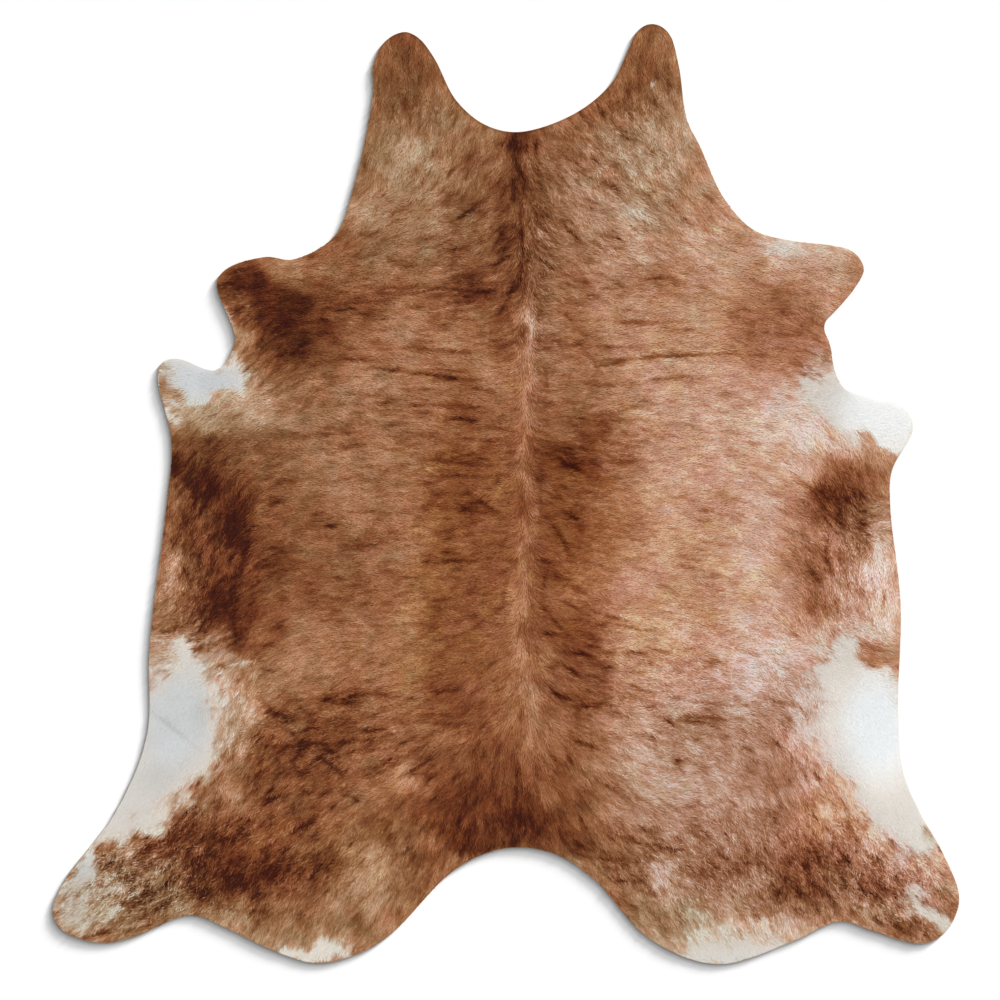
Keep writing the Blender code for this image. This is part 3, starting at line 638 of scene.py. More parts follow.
# White hair, from 0 to 1; below 0 it is coloured again.
whiteMarks = {
    "right neck lobe": [(0.34, 0.98, 0.005, 0.005, 0, 4, 1.3)],
    "left shoulder": [(-0.635, 0.415, 0.02, 0.01, -60, 3, 0.5)],
    "right shoulder": [(0.64, 0.58, 0.035, 0.025, -40, 3, 0.5)],
    "left foreleg": [(-0.745, 0.27, 0.11, 0.055, -12, 4, 1.1), (-0.63, 0.28, 0.05, 0.035, -70, 4, 0.75),
        (-0.785, 0.255, 0.055, 0.025, -60, 3, -0.85), (-0.705, 0.19, 0.025, 0.01, 0, 3, -0.7),
        (-0.665, 0.23, 0.035, 0.015, -20, 3, -0.6), (-0.775, 0.19, 0.02, 0.02, 0, 3, 0.85)],
    "right foreleg": [(0.84, 0.2, 0.125, 0.06, -18, 4, 1.1), (0.915, 0.155, 0.07, 0.045, -75, 4, 1.1),
        (0.745, 0.26, 0.055, 0.035, -60, 3, 0.6), (0.825, 0.13, 0.035, 0.025, 0, 4, -0.9),
        (0.875, 0.09, 0.03, 0.025, 0, 4, -0.9)],
    "left belly": [(-0.61, -0.385, 0.025, 0.01, 8, 3, 0.4), (-0.77, -0.52, 0.125, 0.085, 78, 2.1, 1.2),
        (-0.87, -0.695, 0.145, 0.07, 48, 2.2, 1.15), (-0.745, -0.605, 0.06, 0.035, 60, 3, 0.35),
        (-0.745, -0.385, 0.035, 0.015, -50, 3, 0.6)],
    "right belly": [(0.785, -0.67, 0.05, 0.025, -60, 3, -0.5), (0.89, -0.37, 0.065, 0.035, -15, 3, -1),
        (0.835, -0.525, 0.14, 0.09, 88, 2.1, 1.25), (0.91, -0.705, 0.135, 0.065, -60, 2.4, 1.2),
        (0.775, -0.4, 0.055, 0.035, 60, 3, 0.8), (0.725, -0.565, 0.06, 0.03, -60, 4, 0.15)],
    "left thigh": [(-0.82, -0.765, 0.04, 0.02, 25, 3, 0.22), (-0.465, -1.08, 0.11, 0.025, 2, 4, 0.8)],
    "right thigh": [(0.525, -1.075, 0.14, 0.035, 6, 4, 0.9)],
    "left leg": [(-0.895, -0.84, 0.08, 0.03, 15, 3, -0.45), (-0.95, -0.985, 0.045, 0.015, 20, 3, 0.4),
        (-0.915, -0.925, 0.03, 0.01, 10, 3, 0.35)],
    "right leg": [(0.98, -0.86, 0.04, 0.03, -25, 3, -0.6)],
    "left foot": [(-1.005, -0.95, 0.075, 0.04, 55, 3, 0.52), (-0.985, -0.87, 0.04, 0.02, 55, 4, 0.55)],
    "right foot": [(0.925, -0.945, 0.025, 0.01, -20, 3, 0.45), (0.99, -0.975, 0.06, 0.02, -42, 3, 0.75)],
}

# Warm, golden hair; below 0 it is ashen.
warmMarks = {
    "left neck lobe": [(-0.26, 0.96, 0.165, 0.085, 90, 3, -1)],
    "right neck lobe": [(0.35, 1.045, 0.06, 0.05, 0, 3, 0.5), (0.335, 0.935, 0.14, 0.095, 90, 3, -0.25)],
    "neck": [(-0.155, 0.655, 0.14, 0.115, 90, 3, -0.5), (-0.2, 0.805, 0.14, 0.14, 90, 3, -2.3),
        (-0.085, 0.71, 0.35, 0.235, 0, 4, -1.2)],
    "spine": [(0.075, 0.485, 0.08, 0.035, 90, 3, -0.9), (0.075, 0.455, 0.165, 0.035, 90, 3, -0.6)],
    "left shoulder": [(-0.65, 0.43, 0.115, 0.07, 90, 3, -1), (-0.48, 0.385, 0.115, 0.095, 0, 4, -0.2)],
    "right shoulder": [(0.69, 0.57, 0.14, 0.04, -15, 3, -0.7)],
    "left foreleg": [(-0.69, 0.18, 0.165, 0.115, 0, 3, -1.8)],
    "left back": [(-0.085, -0.105, 0.305, 0.115, 90, 4, 0.9)],
    "right back": [(0.16, -0.085, 0.21, 0.08, 90, 4, 0.7), (0.29, -0.14, 0.235, 0.21, 0, 4, 0.7)],
    "left middle": [(-0.205, -0.34, 0.165, 0.06, 90, 3, 1)],
    "left side": [(-0.41, -0.015, 0.35, 0.14, 90, 4, -0.5)],
    "right side": [(0.69, 0.055, 0.095, 0.14, 0, 3, 0.12), (0.49, -0.435, 0.115, 0.055, 0, 3, 0.14),
        (0.43, -0.245, 0.255, 0.35, 0, 4, 0.16), (0.475, 0.36, 0.185, 0.14, 0, 4, 0.5)],
    "left flank": [(-0.77, -0.13, 0.305, 0.065, 90, 4, -1.1)],
    "right flank": [(0.805, -0.07, 0.07, 0.045, 0, 3, -0.8), (0.85, -0.06, 0.14, 0.055, 90, 3, -0.6)],
    "left belly": [(-0.785, -0.355, 0.14, 0.06, 0, 3, -1)],
    "right belly": [(0.69, -0.565, 0.085, 0.06, 0, 3, 0.8)],
    "right loin": [(0.665, -0.47, 0.14, 0.095, 0, 3, -0.7), (0.455, -0.635, 0.21, 0.165, 0, 4, -1.3),
        (0.69, -0.47, 0.095, 0.07, 0, 3, -0.9)],
    "right rump": [(0.5, -0.715, 0.235, 0.14, 90, 3, -1.1)],
    "tail": [(0.035, -0.835, 0.165, 0.035, 0, 3, -1.5)],
    "left thigh": [(-0.48, -0.83, 0.14, 0.07, 0, 3, 0.5), (-0.68, -0.67, 0.14, 0.06, 60, 3, -0.9),
        (-0.505, -0.995, 0.28, 0.08, -12, 3, -1.4)],
    "right thigh": [(0.715, -0.67, 0.095, 0.14, -30, 3, 0.2), (0.43, -0.905, 0.28, 0.14, 0, 3, -1.3),
        (0.74, -0.75, 0.075, 0.055, 0, 3, 0.8), (0.665, -0.855, 0.115, 0.06, 0, 3, 0.4)],
    "left leg": [(-0.905, -0.925, 0.21, 0.105, 10, 3, -1.1)],
    "right leg": [(0.805, -0.74, 0.14, 0.06, -60, 3, 1.3), (0.935, -0.985, 0.21, 0.105, -50, 3, -1.1)],
    "left foot": [(-0.925, -1.01, 0.14, 0.055, 0, 3, -1.8), (-0.94, -0.95, 0.14, 0.07, 0, 3, -0.8)],
    "right foot": [(0.915, -0.885, 0.105, 0.06, -50, 3, 0.9)],
}

# Rosy hair; below 0 it is olive.
rosyMarks = {
    "right neck lobe": [(0.34, 0.865, 0.21, 0.115, 90, 3, -1.6)],
    "neck": [(-0.085, 0.5, 0.095, 0.06, 0, 3, 0.5), (-0.225, 0.85, 0.235, 0.115, 90, 4, -1.1)],
    "spine": [(0.055, 0.035, 0.47, 0.035, 90, 3, 0.6)],
    "left of the spine": [(-0.075, -0.155, 0.255, 0.08, 90, 4, 0.35)],
    "right of the spine": [(0.19, -0.225, 0.21, 0.085, 90, 3, 1.3)],
    "left shoulder": [(-0.375, 0.57, 0.115, 0.095, 0, 3, -0.4), (-0.48, 0.52, 0.095, 0.04, 0, 3, -0.8)],
    "right shoulder": [(0.655, 0.35, 0.14, 0.11, 0, 3, 1.3)],
    "left foreleg": [(-0.715, 0.16, 0.07, 0.06, 0, 3, -0.9)],
    "left middle": [(-0.205, -0.295, 0.165, 0.06, 90, 3, -0.4)],
    "left side": [(-0.575, 0.125, 0.28, 0.255, 90, 4, -0.6)],
    "right side": [(0.455, -0.06, 0.33, 0.305, 0, 4, 0.6)],
    "right flank": [(0.78, -0.155, 0.21, 0.095, 90, 3, 0.6)],
    "left belly": [(-0.62, -0.53, 0.14, 0.05, 90, 3, -0.6)],
    "left loin": [(-0.505, -0.645, 0.14, 0.115, 0, 3, -0.5), (-0.48, -0.435, 0.115, 0.08, 0, 3, -0.8)],
    "right loin": [(0.69, -0.545, 0.095, 0.08, 0, 3, 1.5), (0.57, -0.48, 0.255, 0.13, 0, 3, 1.3)],
    "left rump": [(-0.32, -0.855, 0.14, 0.115, 0, 3, -2)],
    "right rump": [(0.585, -0.75, 0.255, 0.165, 0, 4, 1.9)],
    "left thigh": [(-0.55, -1.01, 0.235, 0.055, -8, 3, -1.2)],
    "right thigh": [(0.37, -1.01, 0.115, 0.06, 0, 3, -1.5)],
    "left foot": [(-0.905, -0.94, 0.165, 0.115, 0, 3, -1.4)],
    "right foot": [(0.91, -0.89, 0.115, 0.07, -50, 3, 1)],
}

# What is added to the white hair's tone.
shadeMarks = {
    "left foreleg": [(-0.665, 0.265, 0.045, 0.045, 0, 4, -10), (-0.74, 0.265, 0.095, 0.06, 0, 5, -8)],
    "right foreleg": [(0.885, 0.18, 0.105, 0.08, 0, 5, 32)],
    "left belly": [(-0.715, -0.51, 0.02, 0.035, 0, 3, -8), (-0.795, -0.605, 0.055, 0.025, 30, 3, 5),
        (-0.78, -0.54, 0.06, 0.005, -38, 3, -18), (-0.77, -0.54, 0.145, 0.1, 75, 5, -14),
        (-0.87, -0.725, 0.115, 0.07, 48, 5, -10)],
    "right belly": [(0.77, -0.51, 0.095, 0.035, 90, 3, 12), (0.92, -0.715, 0.14, 0.07, -60, 4, 8),
        (0.875, -0.535, 0.15, 0.08, 90, 5, 28)],
    "left foot": [(-0.995, -0.94, 0.095, 0.065, 55, 4, -24)],
}

# Rougher, more open hair.
roughMarks = {
    "neck": [(0.035, 0.71, 0.4, 0.255, 0, 4, 0.15), (0.28, 0.77, 0.2, 0.14, 80, 4, 0.35)],
    "spine": [(0.07, 0.525, 0.21, 0.05, 90, 3, 0.4)],
    "left flank": [(-0.68, -0.085, 0.255, 0.14, 85, 4, 0.35), (-0.765, -0.245, 0.14, 0.07, 90, 3, 0.4)],
    "right flank": [(0.77, -0.105, 0.21, 0.105, 90, 3, 0.6), (0.84, -0.225, 0.165, 0.07, 90, 3, 0.3)],
    "left belly": [(-0.62, -0.55, 0.185, 0.06, 80, 3, 0.3)],
    "right belly": [(0.735, -0.62, 0.235, 0.07, -70, 3, 0.4)],
    "left loin": [(-0.41, -0.575, 0.21, 0.14, 0, 4, 0.4)],
    "right loin": [(0.455, -0.48, 0.255, 0.185, 0, 4, 0.4)],
    "left thigh": [(-0.645, -0.855, 0.35, 0.14, 0, 4, 0.6)],
    "right thigh": [(0.62, -0.87, 0.4, 0.14, 0, 4, 0.8)],
    "left leg": [(-0.905, -0.915, 0.18, 0.11, 10, 3, 1)],
    "right leg": [(0.935, -0.94, 0.14, 0.115, -40, 3, 0.6)],
}

# White hair with a cool cast, from 0 to 1.
coolMarks = {
    "left neck": [(-0.215, 0.825, 0.05, 0.035, 0, 3, 0.6)],
    "right neck": [(0.39, 0.765, 0.035, 0.03, 0, 3, 0.4)],
    "whorl": [(0.055, 0.41, 0.14, 0.03, 90, 3, 0.5)],
    "left foreleg": [(-0.715, 0.265, 0.105, 0.055, 0, 3, 1)],
    "right foreleg": [(0.865, 0.19, 0.105, 0.07, -20, 4, 0.8)],
    "left belly": [(-0.845, -0.68, 0.115, 0.06, 48, 3, 0.35), (-0.765, -0.515, 0.11, 0.08, 80, 4, 0.9)],
    "right belly": [(0.915, -0.725, 0.115, 0.06, -60, 3, 0.2), (0.865, -0.535, 0.115, 0.08, 90, 4, 1)],
    "rump": [(0.51, -1.085, 0.095, 0.02, 5, 3, 0.4)],
    "left foot": [(-0.99, -0.87, 0.04, 0.02, 55, 3, 0.8)],
}

# Clusters of thin brindle streaks: x and y of the middle, half the length, half the width and the
# turn of the oval that they lie in, how many there are, and the tone that each takes away.
streakMarks = {
    "left back": [(-0.235, 0.315, 0.165, 0.05, 0, 16, 44), (-0.155, 0.275, 0.045, 0.01, -6, 5, 68),
        (-0.235, 0.16, 0.165, 0.095, 0, 34, 41), (-0.085, 0.125, 0.055, 0.085, 0, 22, 44),
        (-0.155, -0.06, 0.14, 0.07, 0, 26, 34)],
    "left middle": [(-0.25, -0.295, 0.165, 0.115, 0, 26, 27)],
    "left flank": [(-0.48, 0.035, 0.08, 0.14, 0, 16, 31)],
    "left neck": [(-0.18, 0.71, 0.105, 0.14, 0, 30, 41), (-0.18, 0.535, 0.14, 0.08, 0, 30, 48)],
    "left shoulder": [(-0.34, 0.41, 0.105, 0.06, 0, 18, 44)],
    "right neck": [(0.245, 0.78, 0.125, 0.085, 0, 26, 48), (0.265, 0.605, 0.165, 0.085, 0, 34, 41),
        (0.265, 0.48, 0.165, 0.05, 0, 20, 44)],
    "right back": [(0.315, 0.34, 0.21, 0.055, 0, 34, 48), (0.15, 0.08, 0.08, 0.115, 0, 26, 48),
        (0.36, 0.125, 0.21, 0.115, 0, 34, 31), (0.15, -0.175, 0.08, 0.14, 0, 22, 37)],
    "right side": [(0.5, -0.155, 0.165, 0.185, 0, 30, 27)],
    "right loin": [(0.22, -0.4, 0.095, 0.045, 0, 18, 44), (0.43, -0.46, 0.21, 0.115, 0, 44, 44),
        (0.315, -0.645, 0.165, 0.095, 0, 34, 41)],
    "right rump": [(0.36, -0.795, 0.115, 0.06, 0, 24, 48)],
    "left loin": [(-0.46, -0.53, 0.165, 0.095, 0, 44, 44), (-0.295, -0.67, 0.165, 0.095, 0, 24, 31)],
    "left thigh": [(-0.505, -0.83, 0.165, 0.115, 0, 24, 34)],
    "tail": [(-0.015, -0.69, 0.115, 0.095, 0, 24, 27)],
    "left loin, pale": [(-0.48, -0.32, 0.055, 0.035, 0, 8, -31)],
    "right rump, pale": [(0.285, -0.64, 0.045, 0.06, 0, 10, -31)],
}

# Single streaks: x and y of the middle, half the length, the turn, and the tone that it takes away.
brindleLines = {
    "neck, left": [(-0.278, 0.707, 0.012, -60, 22), (-0.201, 0.794, 0.012, 60, 22),
        (-0.122, 0.703, 0.014, 30, 26), (-0.143, 0.684, 0.012, 30, 20), (-0.3, 0.663, 0.012, 60, 18),
        (-0.257, 0.658, 0.012, 60, 18), (-0.37, 0.583, 0.019, 60, 26), (-0.096, 0.784, 0.037, 38, 20),
        (-0.075, 0.67, 0.044, 38, 34), (-0.089, 0.658, 0.019, 30, 30), (-0.117, 0.569, 0.026, 90, 18),
        (-0.225, 0.536, 0.035, 2, 22), (-0.22, 0.485, 0.063, 0, 24), (-0.26, 0.469, 0.035, 0, 20),
        (-0.201, 0.471, 0.014, 0, 26), (-0.295, 0.452, 0.047, 4, 22), (-0.108, 0.464, 0.047, 0, 26),
        (-0.129, 0.448, 0.012, 0, 20), (-0.213, 0.436, 0.023, 0, 18), (-0.342, 0.429, 0.028, -30, 20),
        (-0.119, 0.41, 0.035, 0, 18), (-0.066, 0.478, 0.042, -4, 30)],
    "neck, by the spine": [(0.021, 0.813, 0.03, 90, 34), (0.033, 0.761, 0.023, 117, 36),
        (0.021, 0.719, 0.019, 90, 26), (0.04, 0.719, 0.019, 90, 26), (0.037, 0.637, 0.051, 90, 22),
        (-0.007, 0.607, 0.033, 65, 24), (0.033, 0.525, 0.028, 90, 30), (0.019, 0.478, 0.023, 75, 28),
        (0.002, 0.443, 0.023, 65, 26), (0.014, 0.412, 0.019, 100, 20), (0.087, 0.267, 0.033, 90, 20),
        (0.075, -0.002, 0.058, 90, 16)],
    "neck, right": [(0.068, 0.829, 0.014, 90, 32), (0.103, 0.801, 0.016, -42, 24),
        (0.15, 0.784, 0.023, -30, 28), (0.152, 0.763, 0.016, -30, 24), (0.225, 0.728, 0.042, -22, 28),
        (0.246, 0.719, 0.016, -20, 28), (0.197, 0.689, 0.033, -30, 24), (0.318, 0.705, 0.026, -50, 24),
        (0.339, 0.686, 0.012, -60, 22), (0.398, 0.665, 0.042, -48, 24), (0.283, 0.836, 0.03, -15, 28),
        (0.143, 0.621, 0.035, -48, 40), (0.147, 0.618, 0.016, -48, 20), (0.094, 0.614, 0.023, -49, 30),
        (0.208, 0.586, 0.019, -25, 26), (0.236, 0.604, 0.03, -18, 24), (0.307, 0.539, 0.042, -3, 26),
        (0.332, 0.504, 0.035, 0, 30), (0.342, 0.506, 0.019, 0, 26), (0.257, 0.494, 0.014, -50, 28),
        (0.18, 0.501, 0.037, -60, 22), (0.47, 0.476, 0.019, -30, 26), (0.269, 0.403, 0.056, -3, 26),
        (0.138, 0.415, 0.021, -50, 24), (0.47, 0.696, 0.023, -45, 20)],
    "right back, upper": [(0.117, 0.349, 0.014, -55, 28), (0.185, 0.326, 0.042, -55, 24),
        (0.321, 0.321, 0.028, 12, 28), (0.407, 0.324, 0.061, 2, 30), (0.257, 0.345, 0.028, -8, 24),
        (0.236, 0.305, 0.019, 0, 18), (0.407, 0.267, 0.047, -6, 24), (0.283, 0.263, 0.019, 0, 20),
        (0.438, 0.244, 0.009, 0, 20), (0.328, 0.216, 0.023, -8, 22), (0.281, 0.204, 0.021, 0, 22),
        (0.267, 0.174, 0.047, -2, 22), (0.166, 0.169, 0.019, 0, 20), (0.222, 0.146, 0.021, 0, 20),
        (0.363, 0.146, 0.009, 0, 18), (0.178, 0.108, 0.026, -15, 28), (0.255, 0.118, 0.026, -10, 24),
        (0.133, 0.075, 0.033, -30, 38), (0.145, 0.064, 0.021, -20, 38), (0.18, 0.073, 0.021, 0, 28),
        (0.187, 0.04, 0.016, 0, 24), (0.248, 0.08, 0.047, 0, 22), (0.278, 0.073, 0.014, 0, 24),
        (0.239, 0.029, 0.012, 0, 22), (0.112, 0.005, 0.023, -55, 26), (0.143, -0.049, 0.021, -30, 26),
        (0.278, -0.07, 0.014, 0, 22), (0.365, 0.015, 0.009, 0, 20), (0.454, -0.037, 0.014, 0, 20),
        (0.271, -0.013, 0.009, 0, 20)],
    "left back": [(-0.192, 0.281, 0.094, -6, 26), (-0.122, 0.272, 0.023, -10, 14),
        (-0.351, 0.314, 0.028, 0, 24), (-0.311, 0.312, 0.033, -2, 22), (-0.22, 0.342, 0.042, -4, 20),
        (-0.278, 0.223, 0.03, -6, 22), (-0.22, 0.181, 0.042, -8, 24), (-0.19, 0.141, 0.035, -6, 22),
        (-0.33, 0.207, 0.033, -8, 22), (-0.388, 0.118, 0.026, -10, 22), (-0.103, 0.176, 0.03, -10, 14),
        (-0.087, 0.207, 0.021, -8, 24), (-0.248, 0.101, 0.037, -8, 22), (-0.372, 0.148, 0.03, -8, 20),
        (-0.101, -0.025, 0.026, -40, 26), (-0.035, -0.027, 0.023, -40, 30), (-0.012, 0.033, 0.014, 80, 26),
        (-0.164, 0.005, 0.012, -50, 24), (-0.096, -0.154, 0.058, 5, 28), (-0.143, -0.245, 0.035, 0, 22),
        (-0.112, -0.215, 0.012, 60, 22), (-0.377, -0.035, 0.014, 0, 9), (-0.318, -0.039, 0.012, 0, 20),
        (-0.26, -0.079, 0.007, 0, 22), (-0.4, -0.072, 0.014, 0, 20), (-0.351, -0.212, 0.016, 0, 26),
        (-0.391, -0.243, 0.014, 0, 24), (-0.33, -0.257, 0.023, 5, 24), (-0.269, -0.159, 0.021, 0, 20),
        (0.002, -0.107, 0.019, 60, 22), (0.005, -0.222, 0.026, 80, 24), (-0.061, -0.308, 0.028, 40, 24),
        (-0.173, -0.322, 0.03, 30, 20), (-0.143, -0.369, 0.035, 40, 18)],
    "right back, lower": [(0.115, -0.091, 0.028, -55, 34), (0.082, -0.208, 0.019, 80, 26),
        (0.157, -0.219, 0.026, -32, 30), (0.133, -0.126, 0.023, -55, 24), (0.187, -0.123, 0.019, 80, 22),
        (0.082, -0.264, 0.019, -60, 24), (0.112, -0.301, 0.019, -45, 30), (0.096, -0.325, 0.016, 0, 36),
        (0.22, -0.304, 0.014, 0, 32), (0.246, -0.287, 0.014, -5, 24), (0.278, -0.308, 0.056, -12, 30),
        (0.29, -0.367, 0.023, -8, 46), (0.325, -0.376, 0.023, -14, 28), (0.239, -0.35, 0.012, -50, 28),
        (0.152, -0.369, 0.021, -10, 30), (0.192, -0.378, 0.019, -25, 36), (0.145, -0.407, 0.03, -35, 38),
        (0.103, -0.4, 0.014, 0, 26), (0.213, -0.425, 0.021, -20, 26), (0.234, -0.404, 0.012, 0, 50),
        (0.332, -0.395, 0.028, -15, 30), (0.473, -0.393, 0.023, -5, 30), (0.466, -0.404, 0.019, 0, 26),
        (0.103, -0.453, 0.028, -45, 34), (0.133, -0.472, 0.019, -20, 26), (0.185, -0.474, 0.023, -10, 28),
        (0.227, -0.488, 0.023, -8, 42), (0.18, -0.493, 0.028, -3, 32), (0.25, -0.507, 0.016, -25, 30),
        (0.307, -0.46, 0.014, -8, 28), (0.473, -0.486, 0.023, -12, 28), (0.325, -0.458, 0.014, -30, 22),
        (0.365, -0.526, 0.019, -15, 38), (0.379, -0.533, 0.014, -45, 32), (0.44, -0.531, 0.026, -6, 50),
        (0.468, -0.521, 0.042, -8, 32), (0.442, -0.208, 0.023, -6, 20), (0.41, -0.144, 0.012, 0, 26),
        (0.473, -0.194, 0.019, -4, 18)],
    "left loin": [(-0.351, -0.474, 0.026, 8, 30), (-0.365, -0.486, 0.023, 5, 28),
        (-0.288, -0.467, 0.023, 0, 24), (-0.276, -0.498, 0.009, 0, 28), (-0.138, -0.458, 0.023, 8, 34),
        (-0.318, -0.549, 0.026, -8, 38), (-0.4, -0.598, 0.016, -30, 32), (-0.393, -0.638, 0.016, -45, 38),
        (-0.365, -0.575, 0.021, 25, 30), (-0.304, -0.577, 0.021, 20, 26), (-0.285, -0.645, 0.033, 24, 34),
        (-0.26, -0.631, 0.014, 20, 22), (-0.199, -0.634, 0.033, 32, 40), (-0.353, -0.706, 0.019, -25, 38),
        (-0.342, -0.708, 0.009, 90, 24), (-0.365, -0.814, 0.014, -15, 28), (-0.264, -0.811, 0.014, 15, 26),
        (-0.229, -0.828, 0.016, 30, 26), (-0.131, -0.533, 0.07, 0, 20), (-0.143, -0.514, 0.047, 0, 18),
        (-0.016, -0.591, 0.019, 60, 20), (0.028, -0.645, 0.014, 90, 26), (0.023, -0.708, 0.019, 90, 26),
        (-0.548, -0.493, 0.012, -50, 32), (-0.534, -0.507, 0.009, 0, 38), (-0.512, -0.519, 0.014, -45, 30),
        (-0.494, -0.556, 0.016, -40, 38), (-0.459, -0.549, 0.016, 10, 38), (-0.426, -0.582, 0.019, -5, 42),
        (-0.405, -0.598, 0.014, -10, 34), (-0.417, -0.62, 0.019, -30, 42), (-0.477, -0.594, 0.021, 70, 32),
        (-0.487, -0.634, 0.019, -55, 30), (-0.456, -0.65, 0.019, 0, 28), (-0.41, -0.479, 0.012, 20, 38),
        (-0.559, -0.643, 0.021, 30, 34), (-0.552, -0.706, 0.023, 10, 40), (-0.461, -0.692, 0.012, -20, 34),
        (-0.41, -0.697, 0.012, 0, 28), (-0.503, -0.741, 0.019, 40, 32), (-0.463, -0.767, 0.026, 25, 36),
        (-0.599, -0.76, 0.012, 40, 30), (-0.629, -0.8, 0.021, 50, 30), (-0.55, -0.407, 0.019, -10, 34),
        (-0.615, -0.423, 0.014, 45, 32), (-0.629, -0.446, 0.014, 70, 26), (-0.4, -0.526, 0.042, 4, 24)],
    "right rump": [(0.166, -0.575, 0.021, -18, 32), (0.19, -0.584, 0.012, -25, 32),
        (0.321, -0.561, 0.014, -25, 32), (0.342, -0.577, 0.012, -60, 32), (0.407, -0.568, 0.014, -10, 26),
        (0.48, -0.563, 0.021, -5, 30), (0.438, -0.575, 0.009, 0, 28), (0.395, -0.62, 0.014, 0, 32),
        (0.4, -0.641, 0.019, -60, 38), (0.271, -0.648, 0.014, -50, 26), (0.248, -0.69, 0.028, -40, 34),
        (0.281, -0.708, 0.014, -40, 38), (0.297, -0.706, 0.012, -60, 32), (0.22, -0.706, 0.026, -28, 30),
        (0.255, -0.725, 0.016, -35, 32), (0.325, -0.678, 0.023, -35, 26), (0.328, -0.722, 0.019, -35, 30),
        (0.372, -0.725, 0.012, -10, 32), (0.391, -0.737, 0.019, -30, 36), (0.421, -0.729, 0.023, 12, 30),
        (0.477, -0.725, 0.023, 20, 26), (0.496, -0.713, 0.009, 0, 28), (0.323, -0.781, 0.019, -15, 40),
        (0.285, -0.797, 0.021, -8, 32), (0.3, -0.809, 0.019, -10, 34), (0.356, -0.821, 0.019, -15, 38),
        (0.391, -0.828, 0.019, -5, 28), (0.4, -0.8, 0.014, -5, 32), (0.438, -0.781, 0.014, -50, 30),
        (0.243, -0.849, 0.051, -5, 30), (0.239, -0.87, 0.019, -10, 30), (0.269, -0.898, 0.014, -10, 32),
        (0.304, -0.893, 0.016, -45, 34), (0.325, -0.926, 0.019, -30, 32), (0.365, -0.856, 0.012, -20, 26),
        (0.564, -0.858, 0.021, 0, 30), (0.412, -0.914, 0.021, -20, 32), (0.454, -0.94, 0.023, -20, 28)],
    "left flank": [(-0.723, -0.322, 0.016, 40, 40), (-0.627, -0.318, 0.021, -80, 40),
        (-0.555, -0.35, 0.021, 0, 30), (-0.676, -0.276, 0.021, 40, 32), (-0.505, 0.033, 0.016, -10, 22),
        (-0.517, -0.013, 0.019, -10, 8), (-0.538, 0.085, 0.019, 20, 24), (-0.435, 0.033, 0.019, -8, 20)],
    "left leg": [(-0.833, -0.861, 0.033, 30, 26), (-0.934, -0.921, 0.021, -40, 30),
        (-0.903, -0.961, 0.033, 25, 34), (-0.885, -0.996, 0.037, 20, 34), (-0.852, -1.013, 0.033, 15, 30),
        (-0.833, -0.949, 0.028, 35, 30), (-0.868, -0.898, 0.028, 40, 28), (-0.908, -0.828, 0.033, 25, 22),
        (-0.81, -0.823, 0.033, 35, 22), (-0.786, -0.903, 0.033, 35, 24), (-0.798, -0.961, 0.028, 30, 26),
        (-0.955, -1.027, 0.033, 10, 26), (-0.978, -0.992, 0.019, -30, 20), (-0.915, -0.926, 0.023, 20, -26),
        (-0.899, -0.886, 0.023, 30, -24), (-0.845, -0.877, 0.023, 30, -22),
        (-0.955, -0.978, 0.023, 20, -22), (-0.875, -0.978, 0.028, 25, -26),
        (-0.821, -0.985, 0.023, 30, -20), (-0.927, -1.008, 0.023, 10, -26),
        (-0.856, -0.926, 0.023, 35, -26), (-0.798, -0.875, 0.023, 35, -18)],
    "right leg": [(0.875, -0.804, 0.033, -50, -22), (0.892, -0.861, 0.028, -80, -22),
        (0.889, -0.926, 0.028, -88, -20), (0.906, -0.861, 0.028, -78, 24), (0.906, -0.931, 0.028, -88, 24),
        (0.856, -0.961, 0.033, -45, 30), (0.875, -1.001, 0.033, -40, 30), (0.91, -1.008, 0.028, -35, 34),
        (0.95, -1.006, 0.028, -30, 30), (0.98, -0.949, 0.028, -50, 28), (1.004, -0.914, 0.028, -55, 22),
        (0.934, -0.903, 0.028, -50, 26), (0.833, -0.903, 0.033, -50, 24), (0.852, -0.996, 0.023, -40, -20),
        (0.934, -0.985, 0.021, -40, -24), (0.957, -0.961, 0.021, -45, -20), (0.98, -0.891, 0.023, -50, -18),
        (0.957, -0.861, 0.028, -45, 20), (0.922, -0.832, 0.028, -45, 22), (0.894, -0.961, 0.023, -45, -20)],
    "right back, long": [(0.267, 0.398, 0.056, 2, 22), (0.379, 0.403, 0.08, -2, 16),
        (0.349, 0.321, 0.122, 4, 28), (0.489, 0.328, 0.061, 0, 18), (0.243, 0.307, 0.033, 12, 26),
        (0.349, 0.265, 0.07, 6, 24), (0.454, 0.277, 0.056, 2, 18), (0.295, 0.202, 0.056, 10, 24),
        (0.22, 0.211, 0.033, 0, 16), (0.431, 0.384, 0.047, 4, 14), (0.314, 0.349, 0.08, 2, 16),
        (0.372, 0.232, 0.07, 5, 14)],
    "left back, long": [(-0.248, 0.291, 0.047, -5, 26), (-0.143, 0.274, 0.056, -6, 24),
        (-0.103, 0.286, 0.028, -4, 22), (-0.365, 0.314, 0.056, 0, 16), (-0.342, 0.272, 0.061, -3, 14),
        (-0.131, 0.183, 0.066, -8, 18), (-0.014, 0.155, 0.037, -10, 20), (-0.201, 0.209, 0.094, -3, 16),
        (-0.271, 0.162, 0.07, -2, 16), (-0.178, 0.338, 0.07, -2, 16), (-0.084, 0.333, 0.047, -4, 20),
        (-0.377, 0.143, 0.07, 3, 20), (-0.236, 0.115, 0.08, 0, 16), (-0.154, 0.214, 0.047, -10, 18),
        (-0.119, 0.075, 0.056, -3, 24), (-0.108, 0.043, 0.061, -3, 22), (-0.084, 0.127, 0.047, 0, 20),
